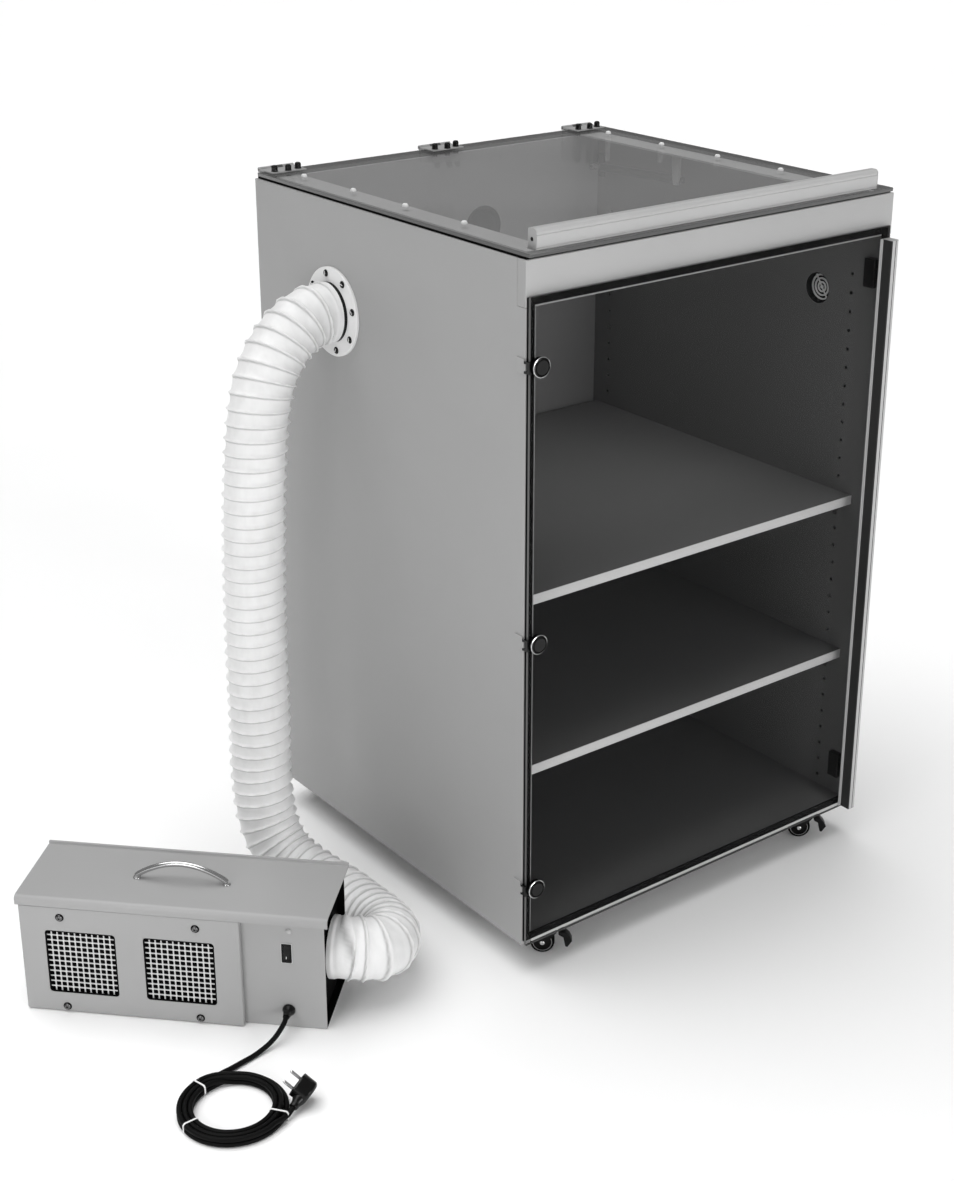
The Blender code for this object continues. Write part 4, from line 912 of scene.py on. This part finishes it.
def castor(name, x, y, braked):
    """Fork with its axle, a tyred wheel and, on the front ones, a brake pedal."""
    swivel = CABINET @ shift(x, y, 0) @ Matrix.Rotation(CASTOR_TURN, 4, "Z")
    axle = swivel @ (shift(-TRAIL, 0, WHEEL_RADIUS) @ Z_TO_FRONT)
    wheel, brake, over = name + "_wheel", name + "_brake", Matrix.Rotation(math.pi, 4, "X")
    top, half = BOTTOM - GAP, WHEEL_WIDTH / 2
    inner, outer = half + 0.0006, half + 0.0026
    crown = rounded_profile([(0, 0.0437), (0.0148, 0.0437), (0.0148, 0.048), (0.0173, 0.05),
                             (0.0173, top), (0, top)], 0.001)
    cheek = arc((-TRAIL, WHEEL_RADIUS), 0.0065, 180, 360, 12)
    cheek += [(0.013, 0.0395), (0.013, 0.045), (-0.014, 0.045), (-TRAIL - 0.0065, 0.03)]
    parts = [(turned_shape(crown, 64), HERE)]
    parts += [(prism_shape(cheek, "Y", low, high, 0.0005, 2, 30), HERE)
              for low, high in ((-outer, -inner), (inner, outer))]
    piece(f"{name}_fork_shell", parts, "plastic", name, swivel, (name + "_fork",))
    ends = [(screw_head(0.004, 0.0014), shift(0, 0, outer)),
            (screw_head(0.004, 0.0014), shift(0, 0, -outer) @ over),
            (cylinder_shape(0.0025, -outer, outer, 24), HERE)]
    piece(f"{name}_axle_bolt", ends, "steel", name, axle)
    tread = mirrored([(0.015, half - 0.0016), (0.0158, half), (0.018, half), (0.0194, half - 0.001),
                      (WHEEL_RADIUS, half - 0.0034)])
    hub = mirrored([(0.0029, half - 0.0012), (0.006, half - 0.0004), (0.007, half - 0.0022),
                    (0.0135, half - 0.003), (0.0149, half - 0.0016)])
    piece(f"{name}_tyre", turned(tread, 96), "rubber", wheel, axle, (wheel,))
    piece(f"{name}_hub", turned(hub, 96), "plastic", wheel, axle)
    ring = [(radius, half + rise) for radius, rise in
            ((0.015, -0.0004), (0.0156, -0.0004), (0.0156, 0.0002), (0.015, 0.0002))]
    rims = [(turned_shape(ring, 96), turn) for turn in (over, HERE)]
    piece(f"{name}_rim", rims, "aluminium", wheel, axle)
    if braked:
        pedal = [(0.016, 0.0342), (0.024, 0.0292), (0.0272, 0.0128), (0.0305, 0.0112), (0.0383, 0.0225),
                 (0.0343, 0.0308), (0.027, 0.0387), (0.016, 0.0403)]
        mesh = prism(pedal, "Y", -0.0084, 0.0084, width=0.0007, segments=2, angle=20)
        piece(f"{name}_pedal", mesh, "plastic", brake, swivel, (brake,))
        ribs = [(box_shape((0.0205, low, 0.0365), (0.0255, low + 0.0012, 0.0392), 0.0003), HERE)
                for low in (-0.006, -0.003, 0.0, 0.003)]
        piece(f"{name}_pedal_ribs", ribs, "plastic", brake, swivel)


def make_castors():
    for end, y in (("front", CASTOR_Y), ("rear", DEPTH - CASTOR_Y)):
        for hand, x in (("left", CASTOR_X), ("right", WIDTH - CASTOR_X)):
            castor(f"castor_{end}_{hand}", x, y, end == "front")


# ---------------------------------------------------------------- filter unit

def make_casing():
    """Open-topped box with a recess at both ends and openings for the filter, duct, switch and lead."""
    front, back, top = COVER_DEPTH + GAP, UNIT_DEPTH, UNIT_HEIGHT - SHEET - GAP
    mesh = box((0, front, 0), (UNIT_LENGTH, back, top), 0.0016, 3)
    wall = END_RECESS + SHEET
    for low, high in ((wall, UNIT_LENGTH - wall), (-0.01, END_RECESS),
                      (UNIT_LENGTH - END_RECESS, UNIT_LENGTH + 0.01)):
        mesh = cut(mesh, box_shape((low, front + SHEET, SHEET), (high, back - SHEET, 0.3)))
    mesh = cut(mesh, box_shape((0.03, -0.01, 0.027), (0.316, front + 0.01, 0.155)))
    mesh = drill(mesh, 0.0475, -0.05, 0.05, shift(UNIT_LENGTH, AXIS_V, AXIS_Z) @ Z_TO_RIGHT, 96)
    opening = rounded_rectangle((SWITCH_U - 0.0063, SWITCH_Z - 0.0142),
                                (SWITCH_U + 0.0063, SWITCH_Z + 0.0142), 0.001)
    mesh = cut(mesh, prism_shape(opening, "Y", 0, 0.03))
    mesh = drill(mesh, 0.0062, -0.03, 0.01, shift(SWITCH_U, 0.0, GLAND_Z) @ Z_TO_FRONT, 32)
    made = piece("unit_casing", mesh, "paint", "cabinet", UNIT, ("filter_casing",))
    # Painted shade: the recess round the duct's end takes the black finish.
    repaint(made, "rubber", in_duct_recess)


def in_duct_recess(face):
    deep = 0.001 < UNIT_LENGTH - face.center.x < END_RECESS + 0.001
    inside = COVER_DEPTH + SHEET - 0.001 < face.center.y < UNIT_DEPTH - SHEET + 0.001
    return deep and inside and face.center.z > SHEET - 0.0005


def make_hood():
    """Top sheet: rolled front edge with a lip, upturned flange at the back."""
    roll, lip, steps = 0.008, -0.001, 10
    outer = [(lip, COVER_TOP + 0.0005)] + arc((lip + roll, UNIT_HEIGHT - roll), roll, 180, 90, steps)
    outer += [(0.1505, UNIT_HEIGHT)] + arc((0.1505, UNIT_HEIGHT + 0.0015), 0.0015, 270, 360, 4)
    outer += [(0.152, UNIT_HEIGHT + 0.0045), (0.156, UNIT_HEIGHT + 0.0045), (0.156, UNIT_HEIGHT - SHEET)]
    inner = arc((lip + roll, UNIT_HEIGHT - roll), roll - SHEET, 90, 180, steps)
    inner += [(lip + SHEET, COVER_TOP + 0.0005)]
    mesh = prism(outer + inner, "X", -0.0045, UNIT_LENGTH + 0.0085, width=0.0005, segments=2, angle=50)
    piece("unit_hood", mesh, "paint", "cabinet", UNIT, ("filter_hood",))


def make_cover():
    """Front cover with its two windows, dark rims inside them as painted shade, and four screws with
    washers.
    """
    mesh = box((0, 0, 0.001), (COVER_LENGTH, COVER_DEPTH, COVER_TOP), 0.0022, 4)
    mesh = cut(mesh, box_shape((SHEET, SHEET, 0.003), (COVER_LENGTH - SHEET, 0.03, COVER_TOP - SHEET)))
    shade_rims = []
    for start in WINDOW_STARTS:
        low, high = (start, WINDOW_BOTTOM), (start + WINDOW_SIZE, WINDOW_BOTTOM + WINDOW_SIZE)
        opening = rounded_rectangle(low, high, 0.0055, 8)
        mesh = cut(mesh, prism_shape(opening, "Y", -0.01, 0.02))
        shade_rims.append((window_shade_rim(low, high), HERE))
    piece("unit_cover", mesh, "paint", "cabinet", UNIT, ("filter_cover",))
    # Painted shade: black rims just inside the windows' edges.
    piece("window_shade_rims", shade_rims, "rubber", matrix=UNIT)
    spots = ((0.065, 0.17), (0.277, 0.17), (0.065, 0.0105), (0.277, 0.01))
    heads = [(screw_head(0.0052, 0.003), shift(u, -0.0008, z) @ Z_TO_FRONT) for u, z in spots]
    piece("cover_screws", heads, "screw", matrix=UNIT)
    washers = [(ring_shape(0.002, 0.0066, 0.0001, 0.001, 40), shift(u, 0, z) @ Z_TO_FRONT)
               for u, z in spots]
    piece("cover_washers", washers, "rubber", matrix=UNIT)


def window_shade_rim(low, high):
    """Thin dark rim just inside a window's edge: painted shade where the recess is in shadow."""
    def inset(by, radius):
        return rounded_rectangle((low[0] + by, low[1] + by), (high[0] - by, high[1] - by), radius, 8)

    return band_shape(inset(0.0002, 0.0054), inset(0.0024, 0.0035), 0.0006, 0.0019)


def make_grille():
    """Two fields of square punched holes with round corners in one plate."""
    front, back = SHEET + GAP, SHEET + GAP + 0.0012
    build = bmesh.new()
    size, side, top = GRILLE_PITCH * GRILLE_COUNT, 0.012, 0.17
    border = (WINDOW_SIZE - size) / 2
    starts, low = [start + border for start in WINDOW_STARTS], WINDOW_BOTTOM + border
    margin = (GRILLE_PITCH - GRILLE_HOLE) / 2
    for left in starts:
        for i in range(GRILLE_COUNT):
            for k in range(GRILLE_COUNT):
                a, b = left + i * GRILLE_PITCH, low + k * GRILLE_PITCH
                inner = rounded_rectangle((a + margin, b + margin),
                                          (a + GRILLE_PITCH - margin, b + GRILLE_PITCH - margin),
                                          GRILLE_CORNER, 2)
                cell(build, (a, b), inner, front, back)
    columns = [side, starts[0], starts[0] + size, starts[1], starts[1] + size, COVER_LENGTH - side]
    rows = [side, low, low + size, top]
    for i in range(5):
        for k in range(3):
            if k == 1 and i in (1, 3):
                continue
            (a, c), (b, d) = columns[i:i + 2], rows[k:k + 2]
            for v in (front, back):
                add_faces(build, [(a, v, b), (c, v, b), (c, v, d), (a, v, d)], [(0, 1, 2, 3)])
    left, right = columns[0], columns[-1]
    rim = [(left, side), (right, side), (right, top), (left, top)]
    for (a, b), (c, d) in zip(rim, rim[1:] + rim[:1]):
        add_faces(build, [(a, front, b), (c, front, d), (c, back, d), (a, back, b)], [(0, 1, 2, 3)])
    bmesh.ops.remove_doubles(build, verts=build.verts, dist=0.00001)
    piece("perforated_plate", to_mesh(build), "grille", matrix=UNIT, replaces=("filter_grille",),
          smooth=30)


def cell(build, corner, inner, front, back):
    """One square of the plate with its hole: both faces round the hole, and the hole's wall."""
    a, b = corner
    c, d = a + GRILLE_PITCH, b + GRILLE_PITCH
    outer = [(c, b), (c, d), (a, d), (a, b)]
    per = len(inner) // 4
    for v in (front, back):
        square = [build.verts.new((p[0], v, p[1])) for p in outer]
        hole = [build.verts.new((p[0], v, p[1])) for p in inner]
        for k in range(4):
            for i in range(per - 1):
                n = k * per + i
                build.faces.new((square[k], hole[n], hole[n + 1]))
            last, following = k * per + per - 1, ((k + 1) % 4) * per
            build.faces.new((square[k], hole[last], hole[following], square[(k + 1) % 4]))
    count = len(inner)
    points = [(p[0], v, p[1]) for v in (front, back) for p in inner]
    following = [*range(1, count), 0]
    add_faces(build, points, [(i, j, count + j, count + i) for i, j in enumerate(following)])


def make_unit_details():
    """Duct spigot, cable gland and indicator lamp."""
    matrix = UNIT @ shift(UNIT_LENGTH - END_RECESS, AXIS_V, AXIS_Z) @ Z_TO_RIGHT
    spigot = [(0.043, -0.012), (0.047, -0.012), (0.047, GAP), (0.0556, GAP), (0.056, 0.0008),
              (0.056, 0.0028), (0.0552, 0.0035), (0.0484, 0.004), (0.0478, 0.0046), (0.0478, 0.0074),
              (0.047, 0.0079), (0.0438, 0.0079), (0.043, 0.0072)]
    spigot = turned(spigot, 96)
    piece("inlet_spigot", spigot, "rubber", "cabinet", matrix, ("filter_spigot",))
    matrix = UNIT @ shift(SWITCH_U, COVER_DEPTH, GLAND_Z) @ Z_TO_FRONT
    gland = rounded_profile([(0, -0.008), (0.0058, -0.008), (0.0058, 0), (0.01, 0), (0.01, 0.003),
                             (0.0086, 0.0056), (0.0062, 0.01), (0.0062, 0.0112), (0.0056, 0.0116),
                             (0.0056, 0.013), (0.006, 0.0134), (0.006, 0.0146), (0.0053, 0.015),
                             (0.0053, 0.0198), (0, 0.0198)], 0.0006)
    piece("gland_body", turned(gland), "gloss", "cabinet", matrix, ("cable_gland",))
    lamp = rounded_profile([(0, GAP), (0.0046, GAP), (0.0046, 0.001), (0.0036, 0.0014), (0.003, 0.0024),
                            (0, 0.003)], 0.0004)
    matrix = UNIT @ shift(0.418, COVER_DEPTH, 0.171) @ Z_TO_FRONT
    piece("indicator_lamp", turned(lamp, 48), "lens", matrix=matrix)


def make_switch():
    """Power rocker in its bezel, on a plate."""
    matrix = UNIT @ shift(SWITCH_U, COVER_DEPTH, SWITCH_Z)
    bezel = prism(rounded_rectangle((-0.0078, -0.0165), (0.0078, 0.0165), 0.0014), "Y", -0.0014, -0.0001,
                  width=0.0005, segments=2, angle=60)
    bezel = cut(bezel, box_shape((-0.0058, -0.01, -0.0131), (0.0058, 0.01, 0.0131)))
    piece("switch_bezel", bezel, "gloss", matrix=matrix)
    plate = prism(rounded_rectangle((-0.0088, -0.0175), (0.0088, 0.0175), 0.002), "Y", -0.0005, -0.0001)
    plate = cut(plate, box_shape((-0.0062, -0.01, -0.014), (0.0062, 0.01, 0.014)))
    piece("switch_plate", plate, "grille", matrix=matrix)
    rocker = [(0.0085, -0.0115), (-0.0018, -0.0125), (-0.003, -0.0118), (-0.0016, -0.006), (-0.0006, 0),
              (0.0002, 0.006), (0.0006, 0.0118), (0.0016, 0.0125), (0.0085, 0.0115)]
    mesh = prism(rocker, "X", -0.0054, 0.0054, width=0.0004, segments=2, angle=30)
    piece("rocker_key", mesh, "gloss", "power_rocker", matrix @ shift(0, -0.0005, 0), ("power_rocker",))
    mark = box((-0.0004, -0.002, -0.0082), (0.0004, -0.0004, -0.0046))
    piece("rocker_mark", mark, "white", "power_rocker", matrix @ shift(0, -0.0014, 0))


def make_carry_handle():
    """Bowed chrome handle on two round feet."""
    steps, points = 48, []
    for i in range(steps + 1):
        t = i / steps
        across = CARRY_U + CARRY_SPAN * (t - 0.5)
        rise = CARRY_RISE * math.sin(math.pi * t) ** 0.8 if 0 < i < steps else 0.0
        points.append(Vector((across, CARRY_V, UNIT_HEIGHT + 0.0042 + rise)))
    bow = to_mesh(sweep(points, lambda *_: 0.0045, 24))
    piece("carry_bow", bow, "chrome", "cabinet", UNIT, ("carry_handle",))
    foot = rounded_profile([(0, 0.0001), (0.0062, 0.0001), (0.0062, 0.0012), (0.0048, 0.0034),
                            (0, 0.0036)], 0.0005)
    feet = [(turned_shape(foot, 40), shift(u, CARRY_V, UNIT_HEIGHT))
            for u in (CARRY_U - CARRY_SPAN / 2, CARRY_U + CARRY_SPAN / 2)]
    piece("carry_feet", feet, "chrome", matrix=UNIT)


# ---------------------------------------------------------------- carried-over model nodes

def dress_nodes():
    """Better materials for the model's own nodes that stay in view."""
    looks = {
        "rubber": "lid_seal door_seal", "plastic": "catch_upper catch_lower fan_impeller",
        "steel": "stay_rod",
        "black_steel": "stay_bracket stay_cylinder",
        "media": "filter_cartridge", "aluminium": "fan_motor",
        "paint": "lid_strip_left lid_strip_right lid_hinge_leaf_1 lid_hinge_leaf_2 lid_hinge_leaf_3",
        "pane_edge": "lid_hinge_base_1 lid_hinge_base_2 lid_hinge_base_3",
        "laminate": "door_hinge_base_1 door_hinge_base_2 door_hinge_base_3",
        "gloss": "door_hinge_cap_1 door_hinge_cap_2 door_hinge_cap_3",
    }
    for look, nodes in looks.items():
        for node in nodes.split():
            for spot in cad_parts[node].material_slots:
                spot.material = MATERIALS[look]


# ---------------------------------------------------------------- stage and lights

def make_stage():
    build, size = bmesh.new(), FLOOR_SIZE
    corners = ((-size, -size), (size, -size), (size, size), (-size, size))
    add_faces(build, [(x, y, FLOOR_Z) for x, y in corners], [(0, 1, 2, 3)])
    floor = bpy.data.objects.new("floor", to_mesh(build))
    nodes = Nodes("floor_white")
    nodes.set(Roughness=0.8)
    nodes.feed(nodes.ramp(nodes.noise(2.0), 0.97, 0.99))
    floor.data.materials.append(nodes.made)
    show(floor)


def light(kind, name, aim, power, place=(0, 0, 0), **settings):
    """A sun or an area light that shines from its place along aim."""
    data = bpy.data.lights.new(name, kind)
    data.energy = power
    for key, value in settings.items():
        setattr(data, key, value)
    made = bpy.data.objects.new(name, data)
    made.location = place
    made.rotation_euler = Vector(aim).to_track_quat("-Z", "Y").to_euler()
    show(made)


def make_lights():
    world = bpy.data.worlds.new("studio")
    world.use_nodes = True
    sky = world.node_tree.nodes["Background"].inputs
    sky["Color"].default_value = (1, 1, 1, 1)
    sky["Strength"].default_value = 0.3
    bpy.context.scene.world = world
    bpy.context.scene.view_settings.view_transform = "Standard"
    light("SUN", "top_light", (0.15, -0.2, -1.0), 2.3, angle=math.radians(60))
    light("SUN", "front_light", (-0.08, 1.0, -0.12), 1.35, angle=math.radians(30))
    light("AREA", "left_softbox", (1.525, 0.65, -0.2), 7, (-1.9, -0.9, 0.7), size=0.7)


MATERIALS = make_materials()
make_camera()
make_duct()
make_lead()
make_body()
make_flange()
make_vent()
make_port_cover()
make_door()
make_lid()
make_castors()
make_casing()
make_hood()
make_cover()
make_grille()
make_unit_details()
make_switch()
make_carry_handle()
dress_nodes()
make_stage()
make_lights()
